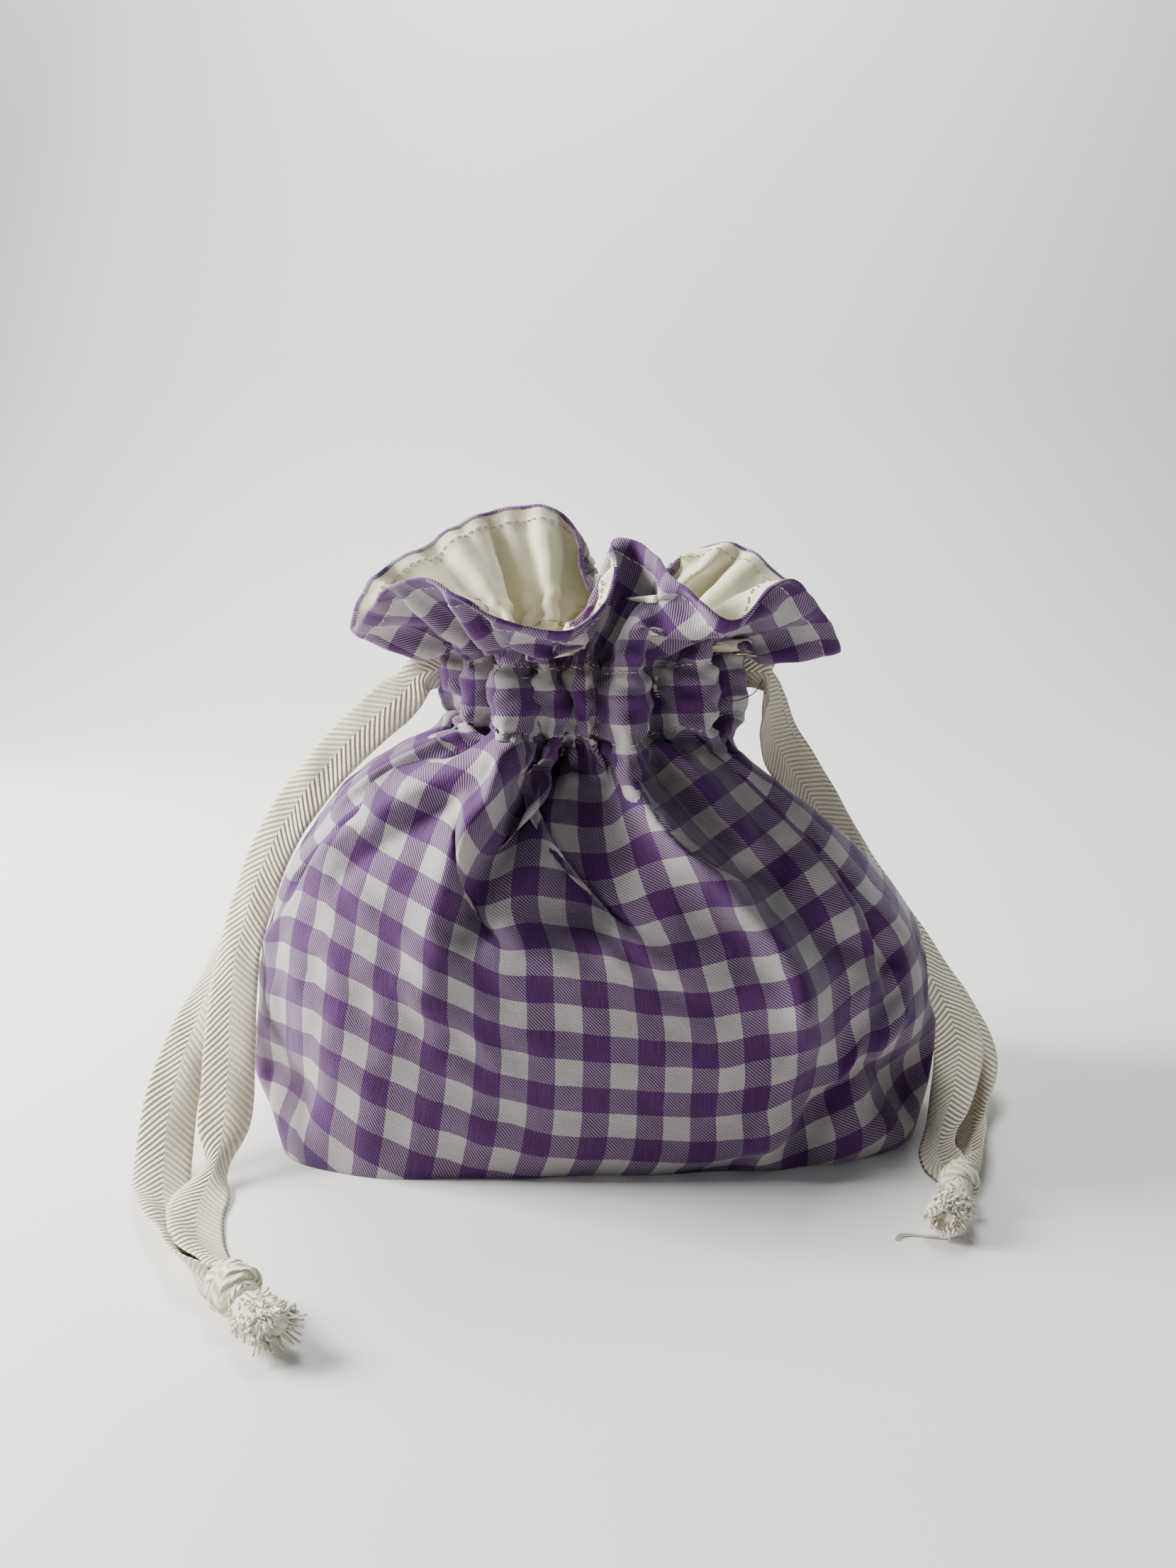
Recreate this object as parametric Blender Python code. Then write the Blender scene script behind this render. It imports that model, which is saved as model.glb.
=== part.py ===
"""Drawstring pouch with a boxed base: a cloth shell and a cloth lining, sewn together at the
casing and at the rim, closed by two flat tapes that run round the casing in opposite directions.

Metres, +Z up, +X to the pouch's right, +Y to its back.  The origin is the middle of the flat base.
"""
import math

import bmesh
import bpy
import numpy as np
from mathutils import Vector

# ---- driving dimensions
CLOTH_GIRTH = 0.680          # cloth all the way round: 240 mm front and back, 100 mm sides
SEGMENTS = 48                # facets round the pouch
GATHERS = 12                 # folds drawn up in the casing
SHELL_WALL = 0.0010
LINING_WALL = 0.0008
GAP = 0.0003                 # between pieces that touch
CHANNEL = 0.0034             # room for the tapes between shell and lining, inside the casing
TAPE_THICK = 0.0008
TAPE_GAP = 0.0005
STRAND_RADIUS = 0.0022       # a free tape, taken as a round cord
STRAND_STEP = 0.011
SLIT_CELLS = 2               # width of each tape exit, in facets

# ---- the cloth's level lines, from the base up:
# height, left, right, front, back, squareness, fold depth, rise to the back, room for tapes
LEVELS = (
    (0.000, -0.124, 0.126, -0.066, 0.064, 4.2, 0.0000, 0.00, 0.0),
    (0.008, -0.131, 0.139, -0.070, 0.068, 3.4, 0.0000, 0.00, 0.0),
    (0.028, -0.1385, 0.149, -0.072, 0.070, 2.6, 0.0000, 0.00, 0.0),
    (0.050, -0.1385, 0.145, -0.073, 0.070, 2.3, 0.0000, 0.00, 0.0),
    (0.075, -0.132, 0.136, -0.071, 0.068, 2.2, 0.0005, 0.00, 0.0),
    (0.100, -0.122, 0.118, -0.067, 0.064, 2.1, 0.0012, 0.02, 0.0),
    (0.123, -0.108, 0.094, -0.061, 0.057, 2.0, 0.0026, 0.06, 0.0),
    (0.144, -0.086, 0.074, -0.052, 0.046, 2.0, 0.0042, 0.12, 0.0),
    (0.163, -0.055, 0.058, -0.039, 0.031, 2.0, 0.0050, 0.20, 0.0),
    (0.168, -0.058, 0.061, -0.042, 0.034, 2.0, 0.0050, 0.20, 1.0),
    (0.189, -0.058, 0.061, -0.042, 0.034, 2.0, 0.0050, 0.20, 1.0),
    (0.194, -0.053, 0.056, -0.037, 0.030, 2.0, 0.0050, 0.20, 0.0),
)
LOWER_CASING = 9             # the two levels between which the tapes run
UPPER_CASING = 10

# ---- the rim of the ruffle: its petals, counted from the left tip round the front
RIM = (
    (-0.092, -0.008, 0.196), (-0.080, -0.034, 0.206), (-0.070, -0.050, 0.215),
    (-0.058, -0.061, 0.216), (-0.042, -0.066, 0.206), (-0.026, -0.060, 0.200),
    (-0.009, -0.052, 0.198), (0.001, -0.042, 0.205), (0.008, -0.030, 0.217),
    (0.009, -0.010, 0.234), (0.019, -0.022, 0.227), (0.026, -0.044, 0.216),
    (0.038, -0.056, 0.205), (0.048, -0.054, 0.201), (0.060, -0.048, 0.211),
    (0.071, -0.037, 0.215), (0.085, -0.024, 0.202), (0.098, -0.008, 0.187),
    (0.092, 0.014, 0.205), (0.079, 0.028, 0.217), (0.064, 0.040, 0.229),
    (0.048, 0.043, 0.225), (0.031, 0.033, 0.212), (0.015, 0.020, 0.204),
    (0.001, 0.025, 0.210), (-0.003, 0.038, 0.231), (-0.010, 0.046, 0.242),
    (-0.025, 0.050, 0.247), (-0.041, 0.050, 0.244), (-0.056, 0.046, 0.237),
    (-0.071, 0.038, 0.227), (-0.085, 0.022, 0.217), (-0.092, 0.008, 0.206),
)
RUFFLE_STEPS = 3

# ---- routes of the free tapes, from the casing to the knot
LEFT_FRONT_ROUTE = (
    (-0.0665, -0.0035, 0.179), (-0.073, -0.004, 0.172), (-0.084, -0.004, 0.163),
    (-0.098, -0.003, 0.150), (-0.113, -0.003, 0.133), (-0.1265, -0.005, 0.112),
    (-0.1350, -0.010, 0.090), (-0.1400, -0.017, 0.070), (-0.1405, -0.028, 0.054),
    (-0.1395, -0.040, 0.038), (-0.1390, -0.051, 0.022), (-0.1400, -0.061, 0.010),
    (-0.1415, -0.072, 0.0055), (-0.1410, -0.087, 0.005), (-0.1365, -0.103, 0.005),
    (-0.1300, -0.114, 0.006), (-0.1224, -0.1242, 0.008),
)
LEFT_BACK_ROUTE = (
    (-0.0665, 0.0040, 0.179), (-0.074, 0.007, 0.171), (-0.087, 0.009, 0.161),
    (-0.102, 0.011, 0.147), (-0.118, 0.012, 0.129), (-0.131, 0.010, 0.108),
    (-0.140, 0.005, 0.088), (-0.1475, -0.003, 0.070), (-0.1530, -0.015, 0.054),
    (-0.1575, -0.030, 0.039), (-0.1605, -0.044, 0.024), (-0.1600, -0.058, 0.011),
    (-0.1565, -0.074, 0.0055), (-0.1490, -0.092, 0.005), (-0.1400, -0.108, 0.005),
    (-0.1360, -0.1180, 0.006), (-0.1301, -0.1275, 0.008),
)
RIGHT_FRONT_ROUTE = (
    (0.0695, -0.0035, 0.178), (0.0715, 0.003, 0.170), (0.074, 0.012, 0.160),
    (0.079, 0.023, 0.147), (0.089, 0.032, 0.133), (0.101, 0.038, 0.117),
    (0.111, 0.041, 0.101), (0.122, 0.041, 0.084), (0.133, 0.034, 0.067),
    (0.1455, 0.022, 0.050), (0.1525, 0.007, 0.036), (0.1530, -0.011, 0.024),
    (0.1450, -0.030, 0.014), (0.1355, -0.046, 0.0075), (0.1290, -0.058, 0.005),
    (0.1262, -0.068, 0.0055), (0.1272, -0.0767, 0.007),
)
RIGHT_BACK_ROUTE = (
    (0.0695, 0.0040, 0.178), (0.0730, 0.012, 0.169), (0.078, 0.021, 0.158),
    (0.084, 0.031, 0.146), (0.094, 0.040, 0.132), (0.105, 0.046, 0.116),
    (0.115, 0.049, 0.099), (0.126, 0.048, 0.082), (0.138, 0.041, 0.065),
    (0.1500, 0.028, 0.048), (0.1580, 0.012, 0.033), (0.1605, -0.006, 0.020),
    (0.1560, -0.024, 0.0105), (0.1490, -0.040, 0.006), (0.1440, -0.053, 0.005),
    (0.1397, -0.066, 0.0055), (0.1354, -0.0781, 0.007),
)

LEFT_KNOT = ((-0.1151, -0.1400, 0.0098), (0.62, -0.78))
RIGHT_KNOT = ((0.1240, -0.0930, 0.0098), (-0.45, -0.89))
KNOT_PROFILE = (             # distance along the knot's axis, radius
    (-0.0105, 0.0040), (-0.0095, 0.0066), (-0.0060, 0.0090), (-0.0015, 0.0088),
    (0.0020, 0.0092), (0.0060, 0.0084), (0.0085, 0.0056), (0.0110, 0.0052),
    (0.0150, 0.0066), (0.0210, 0.0074), (0.0260, 0.0060),
)
KNOT_SIDES = 12


def clear_scene():
    for obj in list(bpy.data.objects):
        bpy.data.objects.remove(obj, do_unlink=True)


def finish_material(obj, name, colour, roughness):
    material = bpy.data.materials.new(name)
    material.use_nodes = True
    shader = material.node_tree.nodes["Principled BSDF"]
    shader.inputs["Base Color"].default_value = (*colour, 1.0)
    shader.inputs["Roughness"].default_value = roughness
    shader.inputs["Metallic"].default_value = 0.0
    obj.data.materials.append(material)


# ---- curves ------------------------------------------------------------------------------

def smooth_curve(points, closed, per_span=12):
    """A Catmull-Rom curve through the points, read closely."""
    p = np.asarray(points, float)
    if closed:
        p = np.vstack([p[-1], p, p[0], p[1]])
    else:
        p = np.vstack([2 * p[0] - p[1], p, 2 * p[-1] - p[-2]])
    out = []
    for a, b, c, d in zip(p[:-3], p[1:-2], p[2:-1], p[3:]):
        for t in np.arange(per_span) / per_span:
            out.append(0.5 * (2 * b + (c - a) * t + (2 * a - 5 * b + 4 * c - d) * t ** 2
                              + (3 * b - a - 3 * c + d) * t ** 3))
    out.append(p[-2])
    return np.array(out)


def evenly(curve, count, closed):
    """The curve's points at equal steps of its length."""
    length = np.concatenate([[0.0], np.cumsum(np.linalg.norm(np.diff(curve, axis=0), axis=1))])
    stations = np.linspace(0.0, length[-1], count + 1)[:-1] if closed else \
        np.linspace(0.0, length[-1], count)
    return np.stack([np.interp(stations, length, curve[:, k]) for k in range(3)], axis=1)


def level_ring(level):
    """One level line of the cloth, from the left side round the front, with its gathers."""
    height, left, right, front, back, squareness, fold, rise, _ = level
    angle = np.pi + np.linspace(0.0, 2.0 * np.pi, 40 * SEGMENTS + 1)
    power = 2.0 / squareness
    x = np.sign(np.cos(angle)) * np.abs(np.cos(angle)) ** power
    y = np.sign(np.sin(angle)) * np.abs(np.sin(angle)) ** power
    x = 0.5 * (left + right) + 0.5 * (right - left) * x
    y = 0.5 * (front + back) + 0.5 * (back - front) * y
    ring = evenly(np.stack([x, y, np.full_like(x, height)], axis=1), SEGMENTS, True)
    along = np.roll(ring, -1, axis=0) - np.roll(ring, 1, axis=0)
    out = np.stack([along[:, 1], -along[:, 0], np.zeros(len(ring))], axis=1)
    out /= np.linalg.norm(out, axis=1)[:, None]
    phase = 2.0 * np.pi * GATHERS * np.arange(SEGMENTS) / SEGMENTS
    ring = ring + out * (fold * np.cos(phase))[:, None]
    ring[:, 2] += rise * ring[:, 1]
    return ring


def ruffle_rings(casing_top):
    """Rings from the casing's upper stitches to the rim: up first, then outwards."""
    rim = evenly(smooth_curve(RIM, True), SEGMENTS, True)
    rings = []
    for step in range(1, RUFFLE_STEPS + 1):
        f = step / RUFFLE_STEPS
        ring = casing_top + (rim - casing_top) * f ** 1.25
        ring[:, 2] = casing_top[:, 2] + (rim - casing_top)[:, 2] * f ** 0.8
        rings.append(ring)
    return rings


def cloth_surface():
    """The shell's outer surface as a grid of points: rings by SEGMENTS by 3."""
    rings = [level_ring(level) for level in LEVELS]
    rings += ruffle_rings(rings[-1])
    return np.array(rings)


def inwards(grid):
    """Unit directions from the outer surface to the inside, level and steady at the base."""
    around = np.roll(grid, -1, axis=1) - np.roll(grid, 1, axis=1)
    up = np.gradient(grid, axis=0)
    normal = np.cross(up, around)
    normal /= np.linalg.norm(normal, axis=2)[:, :, None]
    normal[0, :, 2] = 0.0
    normal[0] /= np.linalg.norm(normal[0], axis=1)[:, None]
    return normal


def sunk(grid, depth):
    """The surface moved inwards by depth, one value for each ring."""
    moved = grid + inwards(grid) * np.asarray(depth)[:, None, None]
    moved[0, :, 2] = grid[0, :, 2] + depth[0]
    return moved


# ---- solids ------------------------------------------------------------------------------

def new_object(name, bm, smooth=False):
    bmesh.ops.recalc_face_normals(bm, faces=bm.faces[:])
    mesh = bpy.data.meshes.new(name)
    bm.to_mesh(mesh)
    bm.free()
    if smooth:
        mesh.shade_smooth()
    obj = bpy.data.objects.new(name, mesh)
    bpy.context.scene.collection.objects.link(obj)
    return obj


def thin_bag(name, outer, inner, open_cells):
    """A closed thin solid between two grids: open at the rim and at the given cells."""
    bm = bmesh.new()
    rows, columns = outer.shape[:2]
    skins = [[[bm.verts.new(p) for p in ring] for ring in grid] for grid in (outer, inner)]

    def wall(row_a, col_a, row_b, col_b):
        bm.faces.new([skins[0][row_a][col_a], skins[0][row_b][col_b],
                      skins[1][row_b][col_b], skins[1][row_a][col_a]])

    for row in range(rows - 1):
        for col in range(columns):
            nxt = (col + 1) % columns
            if (row, col) in open_cells:
                continue
            for skin in skins:
                bm.faces.new([skin[row][col], skin[row][nxt], skin[row + 1][nxt],
                              skin[row + 1][col]])
            if (row, nxt) in open_cells:
                wall(row, nxt, row + 1, nxt)
            if (row, (col - 1) % columns) in open_cells:
                wall(row, col, row + 1, col)
            if (row + 1, col) in open_cells:
                wall(row + 1, col, row + 1, nxt)
            if (row - 1, col) in open_cells:
                wall(row, col, row, nxt)
    for col in range(columns):
        wall(rows - 1, col, rows - 1, (col + 1) % columns)
    for skin in skins:
        bm.faces.new(skin[0])
    for side in skins:
        for ring in side:
            for vert in ring:
                if not vert.link_faces:
                    bm.verts.remove(vert)
    return new_object(name, bm)


def exit_cells():
    """The facets of the shell left open where the tapes leave the casing, left and right."""
    cells = set()
    for middle in (0, SEGMENTS // 2):
        for step in range(SLIT_CELLS):
            cells.add((LOWER_CASING, (middle + step - SLIT_CELLS // 2) % SEGMENTS))
    return cells


def make_shell(grid):
    wall = np.full(len(grid), SHELL_WALL)
    shell = thin_bag("outer_shell", grid, sunk(grid, wall), exit_cells())
    finish_material(shell, "gingham_cotton", (0.30, 0.20, 0.47), 0.85)


def make_lining(grid):
    room = np.array([level[-1] for level in LEVELS] + [0.0] * RUFFLE_STEPS)
    start = SHELL_WALL + GAP + CHANNEL * room
    lining = thin_bag("lining", sunk(grid, start), sunk(grid, start + LINING_WALL), set())
    finish_material(lining, "plain_cotton", (0.80, 0.74, 0.58), 0.85)


def make_channel_tape(name, grid, depth, exit_segment):
    """A tape where it runs round inside the casing: a thin band, open at its own exit."""
    first = exit_segment + SLIT_CELLS
    segments = [(first + k) % SEGMENTS for k in range(SEGMENTS - 2 * SLIT_CELLS + 1)]
    faces = []
    for start in (depth, depth + TAPE_THICK):
        skin = sunk(grid, np.full(len(grid), start))
        low, high = skin[LOWER_CASING], skin[UPPER_CASING]
        faces.append((low + (high - low) * 0.08, low + (high - low) * 0.92))
    bm = bmesh.new()
    loops = []
    for k in segments:
        loops.append([bm.verts.new(p[k]) for p in
                      (faces[0][0], faces[0][1], faces[1][1], faces[1][0])])
    for a, b in zip(loops[:-1], loops[1:]):
        for side in range(4):
            other = (side + 1) % 4
            bm.faces.new([a[side], b[side], b[other], a[other]])
    bm.faces.new(loops[0])
    bm.faces.new(loops[-1])
    tape = new_object(name, bm)
    finish_material(tape, name + "_cotton", (0.78, 0.73, 0.62), 0.9)


def make_strand(name, route):
    """A free tape as a plain round cord along its route."""
    path = smooth_curve(route, False)
    length = np.linalg.norm(np.diff(path, axis=0), axis=1).sum()
    points = evenly(path, int(math.ceil(length / STRAND_STEP)) + 1, False)
    curve = bpy.data.curves.new(name, "CURVE")
    curve.dimensions = "3D"
    curve.bevel_depth = STRAND_RADIUS
    curve.bevel_resolution = 2
    curve.use_fill_caps = True
    spline = curve.splines.new("POLY")
    spline.points.add(len(points) - 1)
    for point, place in zip(spline.points, points):
        point.co = (*place, 1.0)
    obj = bpy.data.objects.new(name, curve)
    bpy.context.scene.collection.objects.link(obj)
    finish_material(obj, name + "_cotton", (0.78, 0.73, 0.62), 0.9)


def make_knot(name, middle, heading):
    """Both ends of a tape in one overhand knot, and the frayed tail behind it."""
    bm = bmesh.new()
    rings = []
    for along, radius in KNOT_PROFILE:
        ring = []
        for k in range(KNOT_SIDES):
            angle = 2.0 * math.pi * (k + 0.5) / KNOT_SIDES
            ring.append(bm.verts.new((along, radius * math.cos(angle), radius * math.sin(angle))))
        rings.append(ring)
    for a, b in zip(rings[:-1], rings[1:]):
        for k in range(KNOT_SIDES):
            nxt = (k + 1) % KNOT_SIDES
            bm.faces.new([a[k], a[nxt], b[nxt], b[k]])
    bm.faces.new(rings[0])
    bm.faces.new(rings[-1])
    knot = new_object(name, bm, smooth=True)
    knot.rotation_euler = Vector((*heading, 0.0)).to_track_quat("X", "Z").to_euler()
    knot.location = middle
    finish_material(knot, name + "_cotton", (0.78, 0.73, 0.62), 0.9)


def main():
    clear_scene()
    grid = cloth_surface()
    make_shell(grid)
    make_lining(grid)
    first_tape = SHELL_WALL + TAPE_GAP
    second_tape = first_tape + TAPE_THICK + TAPE_GAP
    make_channel_tape("drawstring_left_channel", grid, first_tape, 0)
    make_channel_tape("drawstring_right_channel", grid, second_tape, SEGMENTS // 2)
    make_strand("drawstring_left_front_strand", LEFT_FRONT_ROUTE)
    make_strand("drawstring_left_back_strand", LEFT_BACK_ROUTE)
    make_strand("drawstring_right_front_strand", RIGHT_FRONT_ROUTE)
    make_strand("drawstring_right_back_strand", RIGHT_BACK_ROUTE)
    make_knot("drawstring_left_knot", *LEFT_KNOT)
    make_knot("drawstring_right_knot", *RIGHT_KNOT)


main()
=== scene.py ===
"""Looks of the kinchaku pouch: gingham shell, cream lining, herringbone tapes with their knots.

The cloth is one grid of check columns (round the pouch) and rows (up the cloth).  It starts on a
smooth bag surface, is relaxed as real cloth at its real size, and carries its weave in its UVs.
"""
import math

import bpy
import numpy as np
from mathutils import Matrix, Vector
from mathutils.bvhtree import BVHTree


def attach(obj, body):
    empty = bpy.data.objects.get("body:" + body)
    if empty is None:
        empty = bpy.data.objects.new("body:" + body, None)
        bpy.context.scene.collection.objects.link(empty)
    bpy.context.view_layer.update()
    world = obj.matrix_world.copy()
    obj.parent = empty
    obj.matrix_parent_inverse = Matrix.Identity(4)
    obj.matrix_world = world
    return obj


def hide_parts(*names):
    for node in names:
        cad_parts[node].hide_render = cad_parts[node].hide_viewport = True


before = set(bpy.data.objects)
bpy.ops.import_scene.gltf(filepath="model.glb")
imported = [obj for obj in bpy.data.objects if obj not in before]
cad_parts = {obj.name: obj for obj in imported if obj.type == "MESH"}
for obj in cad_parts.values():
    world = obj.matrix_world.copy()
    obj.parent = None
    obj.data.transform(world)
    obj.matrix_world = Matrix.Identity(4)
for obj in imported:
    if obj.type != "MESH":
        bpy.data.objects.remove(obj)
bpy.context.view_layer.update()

# ---- camera: above the front edge of the table, looking slightly down
CAMERA_AT = np.array([-0.0260, -0.4544, 0.2254])
CAMERA_PITCH = math.radians(11.34)
CAMERA_YAW = math.radians(3.1)
CAMERA_FOCAL = 1630.0 / 2212.0       # focal length over the picture's height

# ---- the cloth
CHECK = 0.010
GIRTH = 0.680
CLOTH_HEIGHT = 0.291                 # from the base corners to the rim
CASING_LOW = 0.218                   # the casing's two seams
CASING_HIGH = 0.243
COLUMNS = 240
BODY_ROWS, CASING_ROWS, RUFFLE_ROWS = 76, 11, 19
GATHERS = 14
FIRST_GATHER = -0.079                # a crest's place from the front middle
RELAX_STEPS = 420

LEVELS = (
    # height, left, right, front, back, squareness, rise to the back
    (0.000, -0.124, 0.126, -0.066, 0.064, 4.2, 0.00),
    (0.008, -0.131, 0.139, -0.070, 0.068, 3.4, 0.00),
    (0.028, -0.1385, 0.148, -0.072, 0.070, 2.6, 0.00),
    (0.050, -0.1385, 0.145, -0.073, 0.070, 2.3, 0.00),
    (0.075, -0.132, 0.136, -0.071, 0.068, 2.2, 0.00),
    (0.100, -0.122, 0.118, -0.067, 0.064, 2.1, 0.02),
    (0.123, -0.111, 0.097, -0.062, 0.057, 2.0, 0.06),
    (0.143, -0.093, 0.077, -0.053, 0.047, 2.0, 0.12),
    (0.157, -0.069, 0.062, -0.043, 0.036, 2.0, 0.16),
    (0.166, -0.051, 0.055, -0.037, 0.029, 2.0, 0.20),
    (0.178, -0.056, 0.059, -0.041, 0.033, 2.0, 0.20),
    (0.191, -0.051, 0.053, -0.035, 0.028, 2.0, 0.20),
)
BODY_LEVELS = 10

# The rim line, as the photograph shows it (mm).
RIM = (
    (-92, -8, 196), (-80, -34, 206), (-70, -50, 215), (-58, -61, 216), (-42, -66, 206),
    (-26, -60, 200), (-9, -52, 198), (1, -42, 205), (8, -30, 217), (9, -10, 234), (19, -22, 227),
    (26, -44, 216), (38, -56, 205), (48, -54, 201), (60, -48, 211), (71, -37, 215),
    (85, -24, 202), (98, -8, 187), (92, 14, 205), (79, 28, 217), (64, 40, 229), (48, 43, 225),
    (31, 33, 212), (15, 20, 204), (1, 25, 210), (-3, 38, 231), (-10, 46, 242), (-25, 50, 247),
    (-41, 50, 244), (-56, 46, 237), (-71, 38, 227), (-85, 22, 217), (-92, 8, 206),
)


# ---- curves and grids --------------------------------------------------------------------

def smooth_curve(points, closed, per_span=12):
    """A Catmull-Rom curve through the points, read closely."""
    p = np.asarray(points, float)
    p = np.vstack([p[-1], p, p[0], p[1]]) if closed else \
        np.vstack([2 * p[0] - p[1], p, 2 * p[-1] - p[-2]])
    out = []
    for a, b, c, d in zip(p[:-3], p[1:-2], p[2:-1], p[3:]):
        for t in np.arange(per_span) / per_span:
            out.append(0.5 * (2 * b + (c - a) * t + (2 * a - 5 * b + 4 * c - d) * t ** 2
                              + (3 * b - a - 3 * c + d) * t ** 3))
    out.append(p[-2])
    return np.array(out)


def read_along(curve, stations):
    """Points of a polyline at the given shares of its length."""
    length = np.concatenate([[0.0], np.cumsum(np.linalg.norm(np.diff(curve, axis=0), axis=1))])
    return np.stack([np.interp(stations * length[-1], length, curve[:, k])
                     for k in range(3)], axis=1)


SHARE = np.arange(COLUMNS) / COLUMNS                 # from the left seam round the front
CLOTH_U = (SHARE - 0.25) * GIRTH                     # from the front middle, to the right


def level_ring(level):
    height, left, right, front, back, squareness, rise = level
    angle = np.pi + np.linspace(0.0, 2.0 * np.pi, 2001)
    power = 2.0 / squareness
    x = np.sign(np.cos(angle)) * np.abs(np.cos(angle)) ** power
    y = np.sign(np.sin(angle)) * np.abs(np.sin(angle)) ** power
    x = 0.5 * (left + right) + 0.5 * (right - left) * x
    y = 0.5 * (front + back) + 0.5 * (back - front) * y
    ring = read_along(np.stack([x, y, np.full_like(x, height)], axis=1), SHARE)
    ring[:, 2] += rise * ring[:, 1]
    return ring


def ground_line():
    """How far up the cloth the table's edge of contact runs: more under the bulging faces."""
    from_middle = np.abs((SHARE * 2.0) % 1.0 - 0.5) * GIRTH / 2.0   # 0 at front and back middle
    bump = np.clip(1.0 - (from_middle / 0.118) ** 2, 0.0, 1.0)
    return 0.003 + 0.032 * bump ** 0.8


def row_heights():
    """Each row's place up the cloth, for each column: rows by COLUMNS."""
    ground = ground_line()
    body = ground + (CASING_LOW - ground) * (np.arange(BODY_ROWS) / BODY_ROWS)[:, None]
    casing = CASING_LOW + (CASING_HIGH - CASING_LOW) * np.arange(CASING_ROWS) / CASING_ROWS
    ruffle = np.linspace(CASING_HIGH, CLOTH_HEIGHT, RUFFLE_ROWS + 1)
    upper = np.concatenate([casing, ruffle])[:, None] * np.ones(COLUMNS)
    return np.vstack([body, upper])


def first_shape(cloth_v):
    """The smooth bag with its gathers drawn up: the shape that the cloth relaxes from."""
    rings = np.array([level_ring(level) for level in LEVELS])
    rim = read_along(smooth_curve(np.array(RIM) / 1000.0, True), SHARE)
    rows = len(cloth_v)
    shape = np.zeros((rows, COLUMNS, 3))
    for col in range(COLUMNS):
        body = smooth_curve(rings[:BODY_LEVELS, col], False, 6)
        shape[:BODY_ROWS + 1, col] = read_along(body, np.linspace(0.0, 1.0, BODY_ROWS + 1))
        casing = smooth_curve(rings[BODY_LEVELS - 1:, col], False, 6)
        shape[BODY_ROWS:BODY_ROWS + CASING_ROWS + 1, col] = \
            read_along(casing, np.linspace(0.0, 1.0, CASING_ROWS + 1))
    top = shape[BODY_ROWS + CASING_ROWS]
    for step in range(1, RUFFLE_ROWS + 1):
        f = step / RUFFLE_ROWS
        ring = top + (rim - top) * f ** 1.25
        ring[:, 2] = top[:, 2] + (rim - top)[:, 2] * f ** 0.8
        shape[BODY_ROWS + CASING_ROWS + step] = ring
    return shape


def across(ring):
    """Level unit directions out of a ring."""
    along = np.roll(ring, -1, axis=0) - np.roll(ring, 1, axis=0)
    out = np.stack([along[:, 1], -along[:, 0], np.zeros(len(ring))], axis=1)
    return out / np.maximum(np.linalg.norm(out, axis=1), 1e-9)[:, None]


# At the neck the front's cloth is crowded toward the middle: cloth places (m from the front
# middle) against the places on an evenly shared ring where they come to lie.
CROWDED = ((-0.170, -0.170), (-0.120, -0.116), (-0.079, -0.079), (-0.030, -0.047),
           (0.018, -0.015), (0.067, 0.018), (0.103, 0.066), (0.135, 0.118), (0.170, 0.170))

# How far single gathers stand out or lie back (mm), at cloth places (m).
GATHER_LIFTS = ((-0.150, 2), (-0.125, -3), (-0.079, 5), (-0.030, -9), (0.018, -8), (0.067, 4),
                (0.090, -4), (0.112, 3), (0.145, -2), (0.200, 3), (0.245, -4), (0.290, 3),
                (0.340, -3), (0.390, 4), (0.440, -3), (0.480, 2))


def draw_up(shape, cloth_v):
    """Folds whose depth takes up the cloth that each ring has too much of."""
    crowded = np.array(CROWDED)
    place = np.where(CLOTH_U <= 0.17, np.interp(CLOTH_U, crowded[:, 0], crowded[:, 1]), CLOTH_U)
    for _ in range(40):
        place = place + 0.5 * (0.5 * (np.append(place[1:], place[0] + GIRTH) +
                                      np.append(place[-1] - GIRTH, place[:-1])) - place)
    lifts = np.array(GATHER_LIFTS)
    lift = np.zeros(COLUMNS)
    for at, height in lifts:
        away = (CLOTH_U - at + 0.5 * GIRTH) % GIRTH - 0.5 * GIRTH
        lift += height / 1000.0 * np.exp(-(away / 0.020) ** 2)
    turn = 2.0 * np.pi * (CLOTH_U - FIRST_GATHER) / GIRTH
    folded = shape.copy()
    for row in range(len(shape)):
        ring = shape[row]
        length = np.linalg.norm(np.roll(ring, -1, axis=0) - ring, axis=1).sum()
        spare = max(GIRTH / length, 1.0)
        near = np.clip((row - BODY_ROWS + 34) / 34.0, 0.0, 1.0)
        near = near * near * (3.0 - 2.0 * near)
        ruffle = max(row - BODY_ROWS - CASING_ROWS, 0) / RUFFLE_ROWS
        near *= (1.0 - ruffle) ** 1.5
        moved = CLOTH_U + (place - CLOTH_U) * near
        at = (moved / GIRTH + 0.25) * COLUMNS
        ring = read_grid(ring[None, :, :], np.zeros(1), at)[0] if near > 0.0 else ring
        crowd = np.gradient(moved) / (GIRTH / COLUMNS)
        lean = max(row - BODY_ROWS, 0) / CASING_ROWS * (1.1 * np.sin(2.0 * turn + 1.0))
        pitch = length / GATHERS * crowd
        depth = 0.5 / np.pi * pitch * np.sqrt(np.maximum((spare / crowd) ** 2 - 1.0, 0.0))
        depth = np.minimum(depth, 0.0125) * (1.0 - ruffle)
        fold = depth * np.cos(GATHERS * turn + lean) - 0.10 * depth * (spare > 1.2)
        folded[row] = ring + across(ring) * (fold + lift * near ** 2)[:, None]
    return folded


# ---- what the front shows: where single check squares lie -----------------------------------

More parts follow.
